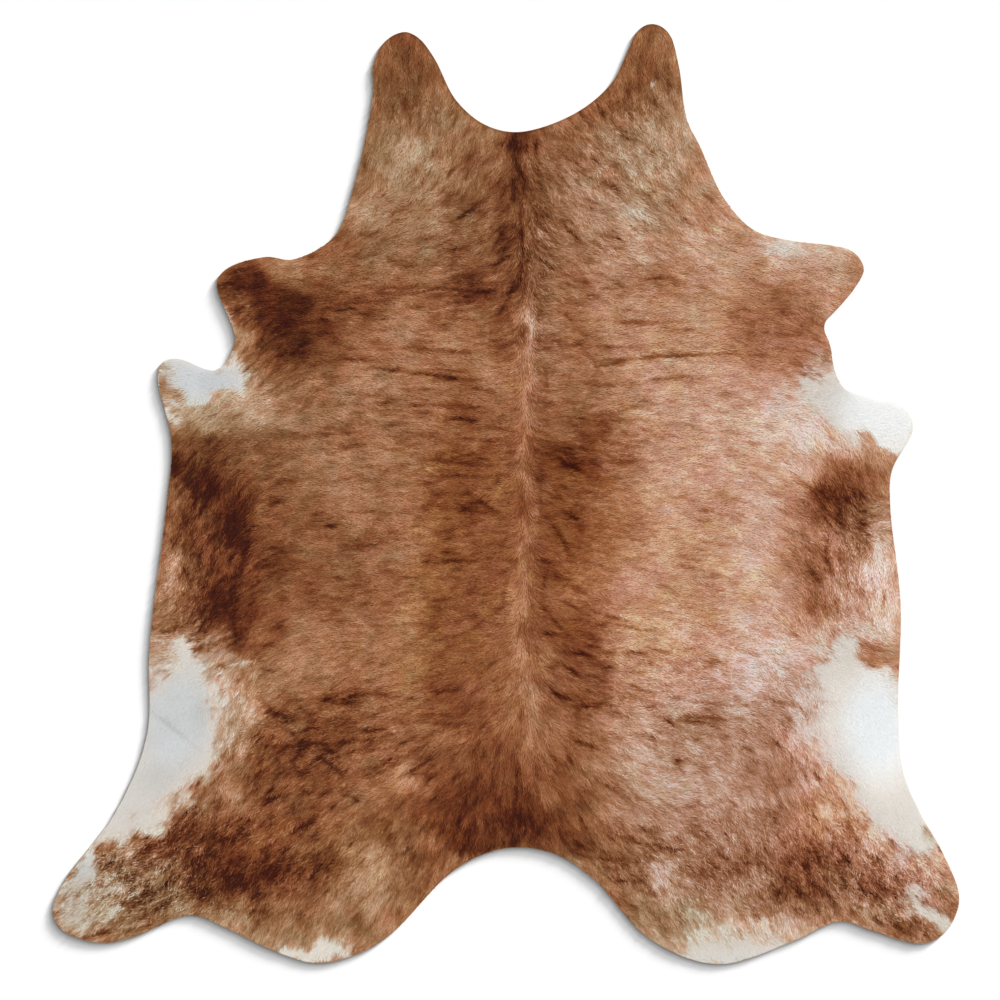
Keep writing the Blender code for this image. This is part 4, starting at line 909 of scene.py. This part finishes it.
        (-0.119, -0.032, 0.051, 0, 20), (-0.318, 0.232, 0.07, -2, 14), (-0.283, 0.197, 0.061, -4, 16)],
}

streaks = {
    "lineWidth": 0.0036,     # half the width of a single streak
    "lineHardness": 2,       # hardness of its edge
    "lineStrength": 1.5,
    "length": (0.025, 0.08), # a streak in a cluster
    "fewestCells": 3,
    "halfWidth": 0.0022,
    "brush": 2,              # cells to each side that it is drawn over
    "strength": (0.3, 0.75), # share of the cluster's tone that it takes away
    "turn": 5.0,             # degrees that it leaves the hair's own way by
    "bend": 0.35,            # degrees that it bends by from cell to cell
}


def allRows(marks):
    return (row for place in marks.values() for row in place)


def addUp(marks, x, y):
    found = np.zeros(x.shape)
    for middleX, middleY, length, width, turn, hardness, amount in allRows(marks):
        reach = coat["markReach"] * max(length, width)
        near = (abs(x - middleX) < reach) & (abs(y - middleY) < reach)
        across, along = x[near] - middleX, y[near] - middleY
        c, s = headed(math.radians(turn))
        away = np.hypot((across * c + along * s) / length, (along * c - across * s) / width)
        found[near] += amount * 0.5 ** (np.minimum(away, coat["markFar"]) ** hardness)
    return found


def combed(noise, cells):
    # the noise drawn out along the hair, this many cells each way
    rows, columns = np.indices(noise.shape)
    total = noise.copy()
    for way in (1, -1):
        row, column = rows.astype(float), columns.astype(float)
        for step in range(1, cells + 1):
            at = (np.rint(row).astype(int), np.rint(column).astype(int))
            column += way * flowX["values"][at]
            row += way * flowY["values"][at]
            np.clip(column, 0, noise.shape[1] - 1, out=column)
            np.clip(row, 0, noise.shape[0] - 1, out=row)
            at = (np.rint(row).astype(int), np.rint(column).astype(int))
            total += (1 - step / (cells + 1)) * noise[at]
    return (total - total.mean()) / total.std()


def paintSpineAndSheen(x, y):
    off = spineAway(x, y)
    # the pale ridge down the spine is partly painted sheen
    found = np.interp(y, spine["y"], spine["tone"]) * np.exp(-((off / spine["width"]) ** 2))
    return found + spine["sideTone"] * np.exp(-(((abs(off) - spine["sideAway"]) / spine["sideWidth"]) ** 2))


def drawStreaks(x):
    # thin dark lines that follow the hair, strongest in their middle
    random = np.random.default_rng(coat["seed"])
    step, found, brush = maps["coatStep"], np.zeros(x.shape), streaks["brush"]
    low = hideLow - maps["margin"]
    for middleX, middleY, length, width, turn, count, depth in allRows(streakMarks):
        c, s = headed(math.radians(turn))
        stronger = np.maximum if depth > 0 else np.minimum
        for _ in range(count):
            radius, around = math.sqrt(random.uniform()), random.uniform(0, 2 * math.pi)
            along, across = radius * math.cos(around) * length, radius * math.sin(around) * width
            at = np.array([middleX + along * c - across * s, middleY + along * s + across * c])
            cells = max(streaks["fewestCells"], round(random.uniform(*streaks["length"]) / step))
            off = math.radians(random.normal(0, streaks["turn"]))
            bend = math.radians(random.normal(0, streaks["bend"]))
            strength = depth * random.uniform(*streaks["strength"])
            heading = math.atan2(float(readGrid(flowY, *at)), float(readGrid(flowX, *at))) + off
            at = at - 0.5 * cells * step * headed(heading)
            for cell in range(cells):
                heading += bend
                at = at + step * headed(heading)
                column, row = ((at - low[:2]) / step).round().astype(int)
                near = np.s_[row - brush:row + brush + 1, column - brush:column + brush + 1]
                nearX = low[0] + step * np.arange(column - brush, column + brush + 1)
                nearY = low[1] + step * np.arange(row - brush, row + brush + 1)
                away = (nearX[None, :] - at[0]) ** 2 + (nearY[:, None] - at[1]) ** 2
                ink = strength * math.sin(math.pi * (cell + 0.5) / cells)
                ink = ink * np.exp(-away / streaks["halfWidth"] ** 2)
                if found[near].shape == ink.shape:
                    found[near] = stronger(found[near], ink)
    return found


def drawLines(x, y):
    ovals = {
        place: [(middleX, middleY, length, streaks["lineWidth"], turn, streaks["lineHardness"], depth)
                for middleX, middleY, length, turn, depth in lines]
        for place, lines in brindleLines.items()
    }
    return streaks["lineStrength"] * addUp(ovals, x, y)


def paintCoat():
    # maps of the tone, the white hair and so on
    step = maps["coatStep"]
    x, y = gridPoints(step)
    fine, brindle, mottle, blotches = (
        combed(smoothNoise(x.shape, cells, seed), drawn) for cells, seed, drawn in combedNoises.values())
    warpX, warpY, warmNoise, rosyNoise = (
        smoothNoise(x.shape, cells, seed) for cells, seed in plainNoises.values())
    brindle -= coat["darkStreaks"] * (brindle**2 - 1)
    warpedX = x + coat["warp"] * warpX + coat["comb"] * fine * flowX["values"]
    warpedY = y + coat["warp"] * warpY + coat["comb"] * fine * flowY["values"]
    rough = 1 + addUp(roughMarks, x, y)
    tone = coat["ground"] + addUp(toneMarks, warpedX, warpedY) + paintSpineAndSheen(warpedX, y)
    tone += coat["blotches"] * blotches - drawStreaks(x) - drawLines(x, y)
    tone += rough * (coat["mottle"] * mottle + coat["brindle"] * brindle + coat["fine"] * fine)
    white = addUp(whiteMarks, warpedX, warpedY)
    wisps = mottle + fine + coat["wispBrindle"] * brindle
    white += coat["whiteWisps"] * rough * wisps * np.clip(white * coat["wispGain"], 0, 1)
    pale = np.clip((white - coat["whiteFrom"]) / (coat["whiteFull"] - coat["whiteFrom"]), 0, 1)
    tone += pale * (coat["whiteTone"] + addUp(shadeMarks, x, y) - tone)
    warm = addUp(warmMarks, x, y) + coat["warmSpread"] * (mottle + warmNoise)
    warm -= coat["borderAshen"] * pale
    rosy = addUp(rosyMarks, x, y) + coat["rosySpread"] * rosyNoise
    layers = {"coatTone": tone, "coatWhite": white, "coatWarm": warm, "coatRosy": rosy,
              "coatCool": addUp(coolMarks, x, y), "coatRough": rough}
    return {name: gridOf(values, step) for name, values in layers.items()}


coatMaps = paintCoat()
print("coat painted:", len(list(allRows(toneMarks))), "tone marks")


def fromScreen(red, green, blue):
    # a colour as it looks on a screen, 0 to 255, as the shader's linear values
    values = np.array([red, green, blue]) / coat["fullTone"]
    linear = np.where(values <= 0.04045, values / 12.92, ((values + 0.055) / 1.055) ** 2.4)
    return (*[float(value) for value in linear], 1.0)


# Colour of the hair at each tone.
hairColours = {
    30: (62, 20, 8), 53: (91, 40, 17), 70: (113, 58, 28), 90: (135, 77, 43), 110: (153, 97, 60),
    130: (173, 118, 81), 150: (191, 139, 104), 170: (207, 160, 128), 190: (220, 182, 154),
    207: (229, 205, 183), 225: (235, 221, 207),
}
tints = {
    "ashen": (0.89, 0.98, 1.22, 1),    # what such hair multiplies that colour by
    "warm": (1.10, 0.98, 0.78, 1),
    "olive": (0.88, 1.09, 1.06, 1),
    "rosy": (1.14, 0.90, 0.97, 1),
    "fullAt": 1.5,                     # where a tint is at its full
    "cream": (223, 215, 205),          # white hair
    "cool": (216, 219, 220),           # and where it is cool
    "whiteTones": (0.5, 1.0),          # shares of the full tone that white hair lies between
    "whiteShades": (0.16, 1.26),       # and what its colour is multiplied by at each
}

grainAndSheen = {
    # painted sheen: the tip of a lock is paler by this
    "tipSheen": 1.04,
    "alongLock": 0.8,        # length of noise along a lock; more makes its strands shorter
    "variety": 90,           # how far apart in the noise the locks can lie
    "scale": 2.6,
    "detail": 2.0,
    "strandShades": (0.93, 1.07),
}

nap = {
    "patchShades": (0.92, 1.05),
    "napShades": (0.9, 1.06),
}

noiseSpread = (0.3, 0.7)     # the part of a noise that is spread over the whole of a range

hairFinish = {
    "roughness": 0.6,
    "roughnessRange": (0.52, 0.68),    # from strand to strand
    "specular": 0.05,
    "paintedRootShades": (0.78, 0.94),        # painted shade at the root of a brown lock and of a white one
    "bump": 0.35,
    "bumpDistance": 0.0003,
}

rootsFinish = {
    "roughness": 0.85,
    "specular": 0.1,
    "patchScale": 30.0,
    "napScale": 700.0,
    "paintedShadeBrown": (0.62, 0.58, 0.55, 1),    # painted shade: what lies low in the coat is darker by this
    "paintedShadeWhite": (0.93, 0.93, 0.93, 1),
    "bump": 0.5,
    "bumpDistance": 0.0004,
}

suedeFinish = {
    "specular": 0.15,
    "roughnessSpread": 0.05,
    "patchScale": 6.0,
    "napScale": 420.0,
    "bump": 0.4,
    "bumpDistance": 0.0003,
    "cutColour": (206, 188, 160),
    "cutRoughness": 0.75,
    "fleshColour": (214, 199, 172),
    "fleshRoughness": 0.9,
}


def newGroup(name, inputs, outputs):
    group = bpy.data.node_groups.new(name, "ShaderNodeTree")
    for label, value in inputs.items():
        socket = group.interface.new_socket(label, in_out="INPUT", socket_type="NodeSocketFloat")
        socket.default_value = value
    for label, kind in outputs.items():
        group.interface.new_socket(label, in_out="OUTPUT", socket_type=kind)
    return group, group.nodes.new("NodeGroupInput").outputs, group.nodes.new("NodeGroupOutput").inputs


def join(tree, source, target):
    tree.links.new(source, target)


def giveOrJoin(tree, value, target):
    if isinstance(value, bpy.types.NodeSocket):
        join(tree, value, target)
    else:
        target.default_value = value


def mixColours(tree, blend, factor, first, second):
    mix = tree.nodes.new("ShaderNodeMix")
    mix.data_type, mix.blend_type, mix.clamp_result = "RGBA", blend, True
    # the node's sockets share their names, so the colour ones are picked by their place
    for index, value in ((0, factor), (6, first), (7, second)):
        giveOrJoin(tree, value, mix.inputs[index])
    return mix.outputs[2]


def multiply(tree, first, second):
    node = tree.nodes.new("ShaderNodeMath")
    node.operation = "MULTIPLY"
    join(tree, first, node.inputs[0])
    join(tree, second, node.inputs[1])
    return node.outputs["Value"]


def mapValue(tree, value, fromLow, fromHigh, toLow, toHigh):
    node = tree.nodes.new("ShaderNodeMapRange")
    limits = {"From Min": fromLow, "From Max": fromHigh, "To Min": toLow, "To Max": toHigh}
    for label, limit in limits.items():
        giveOrJoin(tree, limit, node.inputs[label])
    join(tree, value, node.inputs["Value"])
    return node.outputs["Result"]


def readAttribute(tree, name):
    node = tree.nodes.new("ShaderNodeAttribute")
    node.attribute_name = name
    return node.outputs["Fac"]


def coatColourGroup():
    # the coat's colour from its layers
    group, given, made = newGroup(
        "coatColour",
        {"Tone": 0.44, "White": 0.0, "Warm": 0.0, "Rosy": 0.0, "Cool": 0.0},
        {"Colour": "NodeSocketColor"})
    ramp = group.nodes.new("ShaderNodeValToRGB")
    stops = ramp.color_ramp.elements
    while len(stops) < len(hairColours):
        stops.new(0.5)
    for stop, (tone, colour) in zip(stops, sorted(hairColours.items())):
        stop.position = tone / coat["fullTone"]
        stop.color = fromScreen(*colour)
    join(group, given["Tone"], ramp.inputs["Fac"])
    coloured = ramp.outputs["Color"]
    for label, low, high in (("Warm", "ashen", "warm"), ("Rosy", "olive", "rosy")):
        share = mapValue(group, given[label], -tints["fullAt"], tints["fullAt"], 0, 1)
        tint = mixColours(group, "MIX", share, tints[low], tints[high])
        coloured = mixColours(group, "MULTIPLY", 1.0, coloured, tint)
    white = mixColours(group, "MIX", given["Cool"], fromScreen(*tints["cream"]), fromScreen(*tints["cool"]))
    whiteShade = mapValue(group, given["Tone"], *tints["whiteTones"], *tints["whiteShades"])
    white = mixColours(group, "MULTIPLY", 1.0, white, whiteShade)
    join(group, mixColours(group, "MIX", given["White"], coloured, white), made["Colour"])
    return group


def lockGrainAndShadeGroup():
    # each lock is darker at its root, painted shade where it lies under the others, and paler at its tip,
    # painted sheen; it also has a few strands side by side
    group, given, made = newGroup(
        "lockGrainAndShade",
        {"Along": 0.5, "Across": 0.0, "Random": 0.5, "Painted Root Shade": 0.8},
        {"Shade": "NodeSocketFloat", "Height": "NodeSocketFloat"})
    place = group.nodes.new("ShaderNodeCombineXYZ")
    join(group, given["Across"], place.inputs["X"])
    join(group, mapValue(group, given["Along"], 0, 1, 0, grainAndSheen["alongLock"]), place.inputs["Y"])
    join(group, mapValue(group, given["Random"], 0, 1, 0, grainAndSheen["variety"]), place.inputs["Z"])
    strands = group.nodes.new("ShaderNodeTexNoise")
    strands.inputs["Scale"].default_value = grainAndSheen["scale"]
    strands.inputs["Detail"].default_value = grainAndSheen["detail"]
    join(group, place.outputs["Vector"], strands.inputs["Vector"])
    rootShadeTipSheen = mapValue(group, given["Along"], 0, 1, given["Painted Root Shade"], grainAndSheen["tipSheen"])
    strandShade = mapValue(group, strands.outputs["Fac"], *noiseSpread, *grainAndSheen["strandShades"])
    join(group, multiply(group, rootShadeTipSheen, strandShade), made["Shade"])
    join(group, strands.outputs["Fac"], made["Height"])
    return group


def suedeNapGroup():
    # a short brushed nap, in soft patches
    group, given, made = newGroup(
        "suedeNap",
        {"Patch Scale": suedeFinish["patchScale"], "Nap Scale": suedeFinish["napScale"]},
        {"Shade": "NodeSocketFloat", "Height": "NodeSocketFloat"})
    place = group.nodes.new("ShaderNodeTexCoord")
    noises = []
    for label in ("Patch Scale", "Nap Scale"):
        noises.append(group.nodes.new("ShaderNodeTexNoise"))
        join(group, place.outputs["Object"], noises[-1].inputs["Vector"])
        join(group, given[label], noises[-1].inputs["Scale"])
    patches, hairs = (noise.outputs["Fac"] for noise in noises)
    patchShade = mapValue(group, patches, *noiseSpread, *nap["patchShades"])
    napShade = mapValue(group, hairs, *noiseSpread, *nap["napShades"])
    join(group, multiply(group, patchShade, napShade), made["Shade"])
    join(group, hairs, made["Height"])
    return group


def placeGroup(tree, group, values):
    node = tree.nodes.new("ShaderNodeGroup")
    node.node_tree = group
    for label, value in values.items():
        giveOrJoin(tree, value, node.inputs[label])
    return node.outputs


def newMaterial(name, roughness, specular):
    material = bpy.data.materials.new(name)
    material.use_nodes = True
    shader = material.node_tree.nodes["Principled BSDF"]
    shader.inputs["Roughness"].default_value = roughness
    shader.inputs["Specular IOR Level"].default_value = specular
    return material, material.node_tree, shader


def addBump(tree, shader, height, finish):
    bump = tree.nodes.new("ShaderNodeBump")
    bump.inputs["Strength"].default_value = finish["bump"]
    bump.inputs["Distance"].default_value = finish["bumpDistance"]
    join(tree, height, bump.inputs["Height"])
    join(tree, bump.outputs["Normal"], shader.inputs["Normal"])


def placeCoatColour(tree):
    labels = ("Tone", "White", "Warm", "Rosy", "Cool")
    layers = {label: readAttribute(tree, "coat" + label) for label in labels}
    return placeGroup(tree, coatColour, layers)["Colour"]


def placeNap(tree, finish):
    scales = {"Patch Scale": finish["patchScale"], "Nap Scale": finish["napScale"]}
    return placeGroup(tree, suedeNap, scales)


def hairMaterial():
    material, tree, shader = newMaterial("brindleHair", hairFinish["roughness"], hairFinish["specular"])
    strands = placeGroup(tree, lockGrainAndShade, {
        "Along": readAttribute(tree, "lockAlong"),
        "Across": readAttribute(tree, "lockAcross"),
        "Random": readAttribute(tree, "lockRandom"),
        "Painted Root Shade": mapValue(tree, readAttribute(tree, "coatWhite"), 0, 1, *hairFinish["paintedRootShades"]),
    })
    # the coat's colour, with the lock's painted shade at its root and painted sheen at its tip
    colour = mixColours(tree, "MULTIPLY", 1.0, placeCoatColour(tree), strands["Shade"])
    join(tree, colour, shader.inputs["Base Color"])
    roughness = mapValue(tree, strands["Height"], *noiseSpread, *hairFinish["roughnessRange"])
    join(tree, roughness, shader.inputs["Roughness"])
    addBump(tree, shader, strands["Height"], hairFinish)
    return material


def rootsMaterial():
    # the skin under the hair, and the dense hair low down on it, darkened with painted shade
    material, tree, shader = newMaterial("hairRoots", rootsFinish["roughness"], rootsFinish["specular"])
    roots = placeNap(tree, rootsFinish)
    colour = mixColours(tree, "MULTIPLY", 1.0, placeCoatColour(tree), roots["Shade"])
    white = readAttribute(tree, "coatWhite")
    # painted shade low in the coat, lighter under white hair
    paintedShade = mixColours(tree, "MIX", white, rootsFinish["paintedShadeBrown"], rootsFinish["paintedShadeWhite"])
    colour = mixColours(tree, "MULTIPLY", 1.0, colour, paintedShade)
    join(tree, colour, shader.inputs["Base Color"])
    addBump(tree, shader, roots["Height"], rootsFinish)
    return material


def suedeMaterial(name, colour, roughness):
    material, tree, shader = newMaterial(name, roughness, suedeFinish["specular"])
    brushed = placeNap(tree, suedeFinish)
    tinted = mixColours(tree, "MULTIPLY", 1.0, fromScreen(*colour), brushed["Shade"])
    join(tree, tinted, shader.inputs["Base Color"])
    spread = suedeFinish["roughnessSpread"]
    uneven = mapValue(tree, brushed["Height"], *noiseSpread, roughness - spread, roughness + spread)
    join(tree, uneven, shader.inputs["Roughness"])
    addBump(tree, shader, brushed["Height"], suedeFinish)
    return material


coatColour, lockGrainAndShade, suedeNap = coatColourGroup(), lockGrainAndShadeGroup(), suedeNapGroup()
brindleHair = hairMaterial()
hairRoots = rootsMaterial()
cutLeather = suedeMaterial("cutLeather", suedeFinish["cutColour"], suedeFinish["cutRoughness"])
fleshSuede = suedeMaterial("fleshSuede", suedeFinish["fleshColour"], suedeFinish["fleshRoughness"])
print("materials made")


def addLayers(mesh, layers):
    # gives each point of the mesh its values, as attributes that the materials read
    for name, values in layers.items():
        layer = mesh.attributes.new(name, "FLOAT", "POINT")
        layer.data.foreach_set("value", np.ascontiguousarray(values, np.float32))


def addTopView(mesh, low, size):
    # lays the mesh out as seen from above, for baking
    corners = np.empty(len(mesh.loops), np.int32)
    mesh.loops.foreach_get("vertex_index", corners)
    points = np.empty(len(mesh.vertices) * 3, np.float32)
    mesh.vertices.foreach_get("co", points)
    flat = (points.reshape(-1, 3)[corners, :2] - low) / size
    mesh.uv_layers.new(name="OFBake").data.foreach_set("uv", flat.astype(np.float32).ravel())


def whiteShare(over):
    # how white the hair is, from how far its white is over one half
    return np.clip(over / coat["whiteSoft"] + 0.5, 0, 1)


def skinLayer(name, grid, x, y):
    values = readGrid(grid, x, y)
    if name == "coatTone":
        return values / coat["fullTone"]
    return whiteShare(values - 0.5) if name == "coatWhite" else values


def makeSkin():
    ring = smoothLine(cutEdge, edge["skinStep"], closed=True)
    ahead = np.roll(ring, -1, axis=0) - np.roll(ring, 1, axis=0)
    ahead /= np.linalg.norm(ahead, axis=1)[:, None]
    inner = ring + np.column_stack([-ahead[:, 1], ahead[:, 0]]) * skin["rimRound"]
    x, y = staggeredPoints(skin["pitch"])
    inside = readGrid(edgeAway, x, y) > skin["pitch"] * skin["rimGap"]
    flat = np.vstack([inner, np.column_stack([x[inside], y[inside]])])
    loop = list(range(len(ring)))
    filled = geometry.delaunay_2d_cdt(
        [Vector(point) for point in flat], [], [loop], skin["insideOnly"], skin["fillDistance"])
    faces, sources = filled[2:4]
    order = [source[0] for source in sources]
    faces = [[order[i] for i in face] for face in faces]
    heights = skinTop(flat[:, 0], flat[:, 1])
    count, around = len(flat), len(ring)
    points = np.vstack([
        np.column_stack([flat, heights]),
        np.column_stack([flat, np.zeros(count)]),
        np.column_stack([ring, heights[:around] - skin["rimRound"]]),
        np.column_stack([ring, np.full(around, skin["rimRound"])]),
    ])
    quads = []
    for here in range(around):
        after = (here + 1) % around
        upper, lower = 2 * count, 2 * count + around
        quads += [
            [here, upper + here, upper + after, after],
            [upper + here, lower + here, lower + after, upper + after],
            [lower + here, count + here, count + after, lower + after],
        ]
    below = [[count + i for i in reversed(face)] for face in faces]
    mesh = bpy.data.meshes.new("hideSkin")
    mesh.from_pydata(points.tolist(), [], faces + below + quads)
    for material in (hairRoots, fleshSuede, cutLeather):
        mesh.materials.append(material)
    kinds = np.concatenate([np.zeros(len(faces)), np.ones(len(below)), np.full(len(quads), 2)])
    mesh.polygons.foreach_set("material_index", kinds.astype(np.int32))
    mesh.shade_smooth()
    mesh.set_sharp_from_angle(angle=math.radians(skin["sharpFrom"]))
    x, y = points[:, 0], points[:, 1]
    addLayers(mesh, {name: skinLayer(name, grid, x, y) for name, grid in coatMaps.items()})
    return addObject("hideSkin", mesh)


hideSkin = makeSkin()
print("skin made:", len(hideSkin.data.polygons), "faces")


hair = {
    "pitch": 0.00303,        # spacing of the locks' roots
    "jitter": 0.45,          # how uneven it is, in pitches
    "edgeGap": 0.0008,       # the roots stop this short of the cut edge
    "overhang": 0.0018,      # the tips may pass the cut edge by this
    "shortened": (0.8, 0.8, 0.75, 0.7, 0.6, 0.5),    # a lock that goes further is cut to these in turn
    "length": (0.009, 0.018),
    "whiteLength": 0.8,      # white hair is shorter by this
    "width": (0.0017, 0.0023),
    "leastDepth": 0.0008,    # depth of the coat where it is thinnest
    "whiteDepth": 0.6,       # white hair lies this much flatter
    "widestAt": 0.4,         # where a lock is widest, from its root
    "ridge": 0.0004,         # a lock's middle stands this far over its sides
    "rootLift": 0.0002,
    "tipHeight": (0.55, 1.02),
    "turnSpread": 11.0,      # degrees that single locks turn from the flow
    "clumpTurn": 9.0,        # degrees that whole clumps turn
    "clumpCells": 3.0,       # cells of the coat's map that a clump is wide
    "seed": 20,
}
lockFaces = np.array([[0, 1, 3], [0, 3, 2]])    # a lock's corners are its root, two sides and tip


def rootPlaces(random):
    x, y = staggeredPoints(hair["pitch"])
    uneven = hair["pitch"] * hair["jitter"]
    x, y = (part + uneven * random.uniform(-1, 1, x.shape) for part in (x, y))
    inside = readGrid(edgeAway, x, y) > hair["edgeGap"]
    return x[inside], y[inside]


def growHair():
    # every lock of the coat: its four corners and its layers
    random = np.random.default_rng(hair["seed"])
    x, y = rootPlaces(random)
    count = len(x)
    layers = {name: readGrid(grid, x, y) for name, grid in coatMaps.items()}
    white = whiteShare(layers["coatWhite"] - 0.5 - coat["whiteBlend"] * random.uniform(-1, 1, count))
    rough = layers.pop("coatRough") * (1 - coat["whiteCalm"] * white)
    tone = layers["coatTone"] + coat["lockSpread"] * rough**2 * random.standard_normal(count)
    # a few locks painted paler: painted glints of light on single hairs
    tone += coat["glintTone"] * rough * (random.uniform(0, 1, count) < coat["glintLocks"])
    layers["coatWhite"], layers["coatTone"] = white, tone / coat["fullTone"]
    layers["lockRandom"] = random.uniform(0, 1, count)
    shape = coatMaps["coatTone"]["values"].shape
    clumps = gridOf(smoothNoise(shape, hair["clumpCells"], hair["seed"] + 1), maps["coatStep"])
    turn = rough * random.normal(0, hair["turnSpread"], count) + hair["clumpTurn"] * readGrid(clumps, x, y)
    c, s = np.cos(np.radians(turn)), np.sin(np.radians(turn))
    flowC, flowS = unitFlow(readGrid(flowX, x, y), readGrid(flowY, x, y))
    c, s = flowC * c - flowS * s, flowS * c + flowC * s
    length = random.uniform(*hair["length"], count) * (1 - (1 - hair["whiteLength"]) * white)
    for shorter in hair["shortened"]:
        limit = -hair["overhang"] * random.uniform(0, 1, count)
        past = readGrid(edgeAway, x + c * length, y + s * length) < limit
        length = np.where(past, length * shorter, length)
    halfWidth = random.uniform(*hair["width"], count) / 2
    tipX, tipY = x + c * length, y + s * length
    rootZ = skinTop(x, y) + hair["rootLift"]
    depth = readGrid(hairTop, x, y) + creaseRelief(x, y) - skinTop(x, y)
    depth = np.clip(depth, hair["leastDepth"], None) * (1 - (1 - hair["whiteDepth"]) * white)
    tipZ = skinTop(tipX, tipY) + depth * random.uniform(*hair["tipHeight"], count)
    at = hair["widestAt"]
    sideX, sideY = x + c * length * at, y + s * length * at
    sideZ = rootZ + (tipZ - rootZ) * at - hair["ridge"]
    corners = np.stack([
        np.column_stack([x, y, rootZ]),
        np.column_stack([sideX + s * halfWidth, sideY - c * halfWidth, sideZ]),
        np.column_stack([sideX - s * halfWidth, sideY + c * halfWidth, sideZ]),
        np.column_stack([tipX, tipY, tipZ]),
    ], axis=1)
    return corners, layers


def makeHairPiece(name, corners, layers):
    count, perLock = corners.shape[:2]
    faces = (lockFaces + perLock * np.arange(count)[:, None, None]).reshape(-1, 3)
    mesh = bpy.data.meshes.new(name)
    mesh.vertices.add(count * perLock)
    mesh.vertices.foreach_set("co", corners.astype(np.float32).ravel())
    mesh.loops.add(faces.size)
    mesh.loops.foreach_set("vertex_index", faces.astype(np.int32).ravel())
    mesh.polygons.add(len(faces))
    starts = np.arange(0, faces.size, faces.shape[1], dtype=np.int32)
    mesh.polygons.foreach_set("loop_start", starts)
    mesh.update(calc_edges=True)
    mesh.shade_smooth()
    mesh.materials.append(brindleHair)
    perCorner = {label: np.repeat(values, perLock) for label, values in layers.items()}
    perCorner["lockAlong"] = np.tile([0, hair["widestAt"], hair["widestAt"], 1], count)
    perCorner["lockAcross"] = np.tile([0, -1, 1, 0], count)
    addLayers(mesh, perCorner)
    low = corners[:, :, :2].min(axis=(0, 1))
    addTopView(mesh, low, (corners[:, :, :2].max(axis=(0, 1)) - low).max())
    return addObject(name, mesh)


def dressHide():
    # the coat in four pieces, parted at the spine and across the middle of each side
    corners, layers = growHair()
    x, y = corners[:, 0, 0], corners[:, 0, 1]
    onRight = spineAway(x, y) > 0
    pieces = []
    for side, onSide in (("Left", ~onRight), ("Right", onRight)):
        middle = np.median(y[onSide])
        for end, atEnd in (("Neck", y > middle), ("Rump", y <= middle)):
            kept = onSide & atEnd
            parted = {label: values[kept] for label, values in layers.items()}
            pieces.append(makeHairPiece("hair" + end + side, corners[kept], parted))
            print(pieces[-1].name, "has", int(kept.sum()), "locks")
    return pieces


hairPieces = dressHide()

for piece in [hideSkin, *hairPieces]:
    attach(piece, "root")
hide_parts("hide")


studio = {
    "floorSize": 30.0,
    "floorGap": 0.0004,      # the floor lies this far under the hide
    "floorColour": (188, 188, 188),
    "floorRoughness": 0.9,
    "floorSpecular": 0.1,
    "worldColour": (1.0, 1.0, 1.0),
    "worldStrength": 0.45,
    "backdrop": 1.0,         # how bright the camera sees the world behind the floor
}

# Lights: degrees from +X towards +Y that each comes from, degrees above the floor, strength,
# softness in degrees, and whether it lights the hide or the floor.
studioLights = {
    "keyLight": (60, 56, 2.95, 30, "hide"),
    "lowLight": (46, 7, 19.9, 5, "floor"),
    "middleLight": (46, 14, 6.0, 9, "floor"),
    "highLight": (46, 32, 1.83, 28, "floor"),
}


def layFloor():
    half = studio["floorSize"] / 2
    corners = [(-half, -half, 0), (half, -half, 0), (half, half, 0), (-half, half, 0)]
    mesh = bpy.data.meshes.new("floor")
    mesh.from_pydata(corners, [], [(0, 1, 2, 3)])
    material, _, shader = newMaterial("paleFloor", studio["floorRoughness"], studio["floorSpecular"])
    shader.inputs["Base Color"].default_value = fromScreen(*studio["floorColour"])
    mesh.materials.append(material)
    floor = addObject("floor", mesh)
    floor.location.z = -studio["floorGap"]
    return floor


def lightStudio(floor):
    world = bpy.data.worlds.new("studio")
    world.use_nodes = True
    tree = world.node_tree
    background = tree.nodes["Background"]
    background.inputs["Color"].default_value = (*studio["worldColour"], 1)
    seen = tree.nodes.new("ShaderNodeLightPath").outputs["Is Camera Ray"]
    strength = mapValue(tree, seen, 0, 1, studio["worldStrength"], studio["backdrop"])
    join(tree, strength, background.inputs["Strength"])
    bpy.context.scene.world = world
    lit = {"hide": [hideSkin, *hairPieces], "floor": [floor]}
    for name, (turn, height, strength, softness, lights) in studioLights.items():
        data = bpy.data.lights.new(name, "SUN")
        data.energy = strength
        data.angle = math.radians(softness)
        height = math.radians(height)
        towards = Vector((*headed(math.radians(turn)) * math.cos(height), math.sin(height)))
        light = addObject(name, data)
        light.rotation_euler = towards.to_track_quat("Z", "Y").to_euler()
        receivers = bpy.data.collections.new(name + "On")
        for receiver in lit[lights]:
            receivers.objects.link(receiver)
        light.light_linking.receiver_collection = receivers


lightStudio(layFloor())
bpy.context.scene.view_settings.view_transform = "Standard"
print("studio lit")
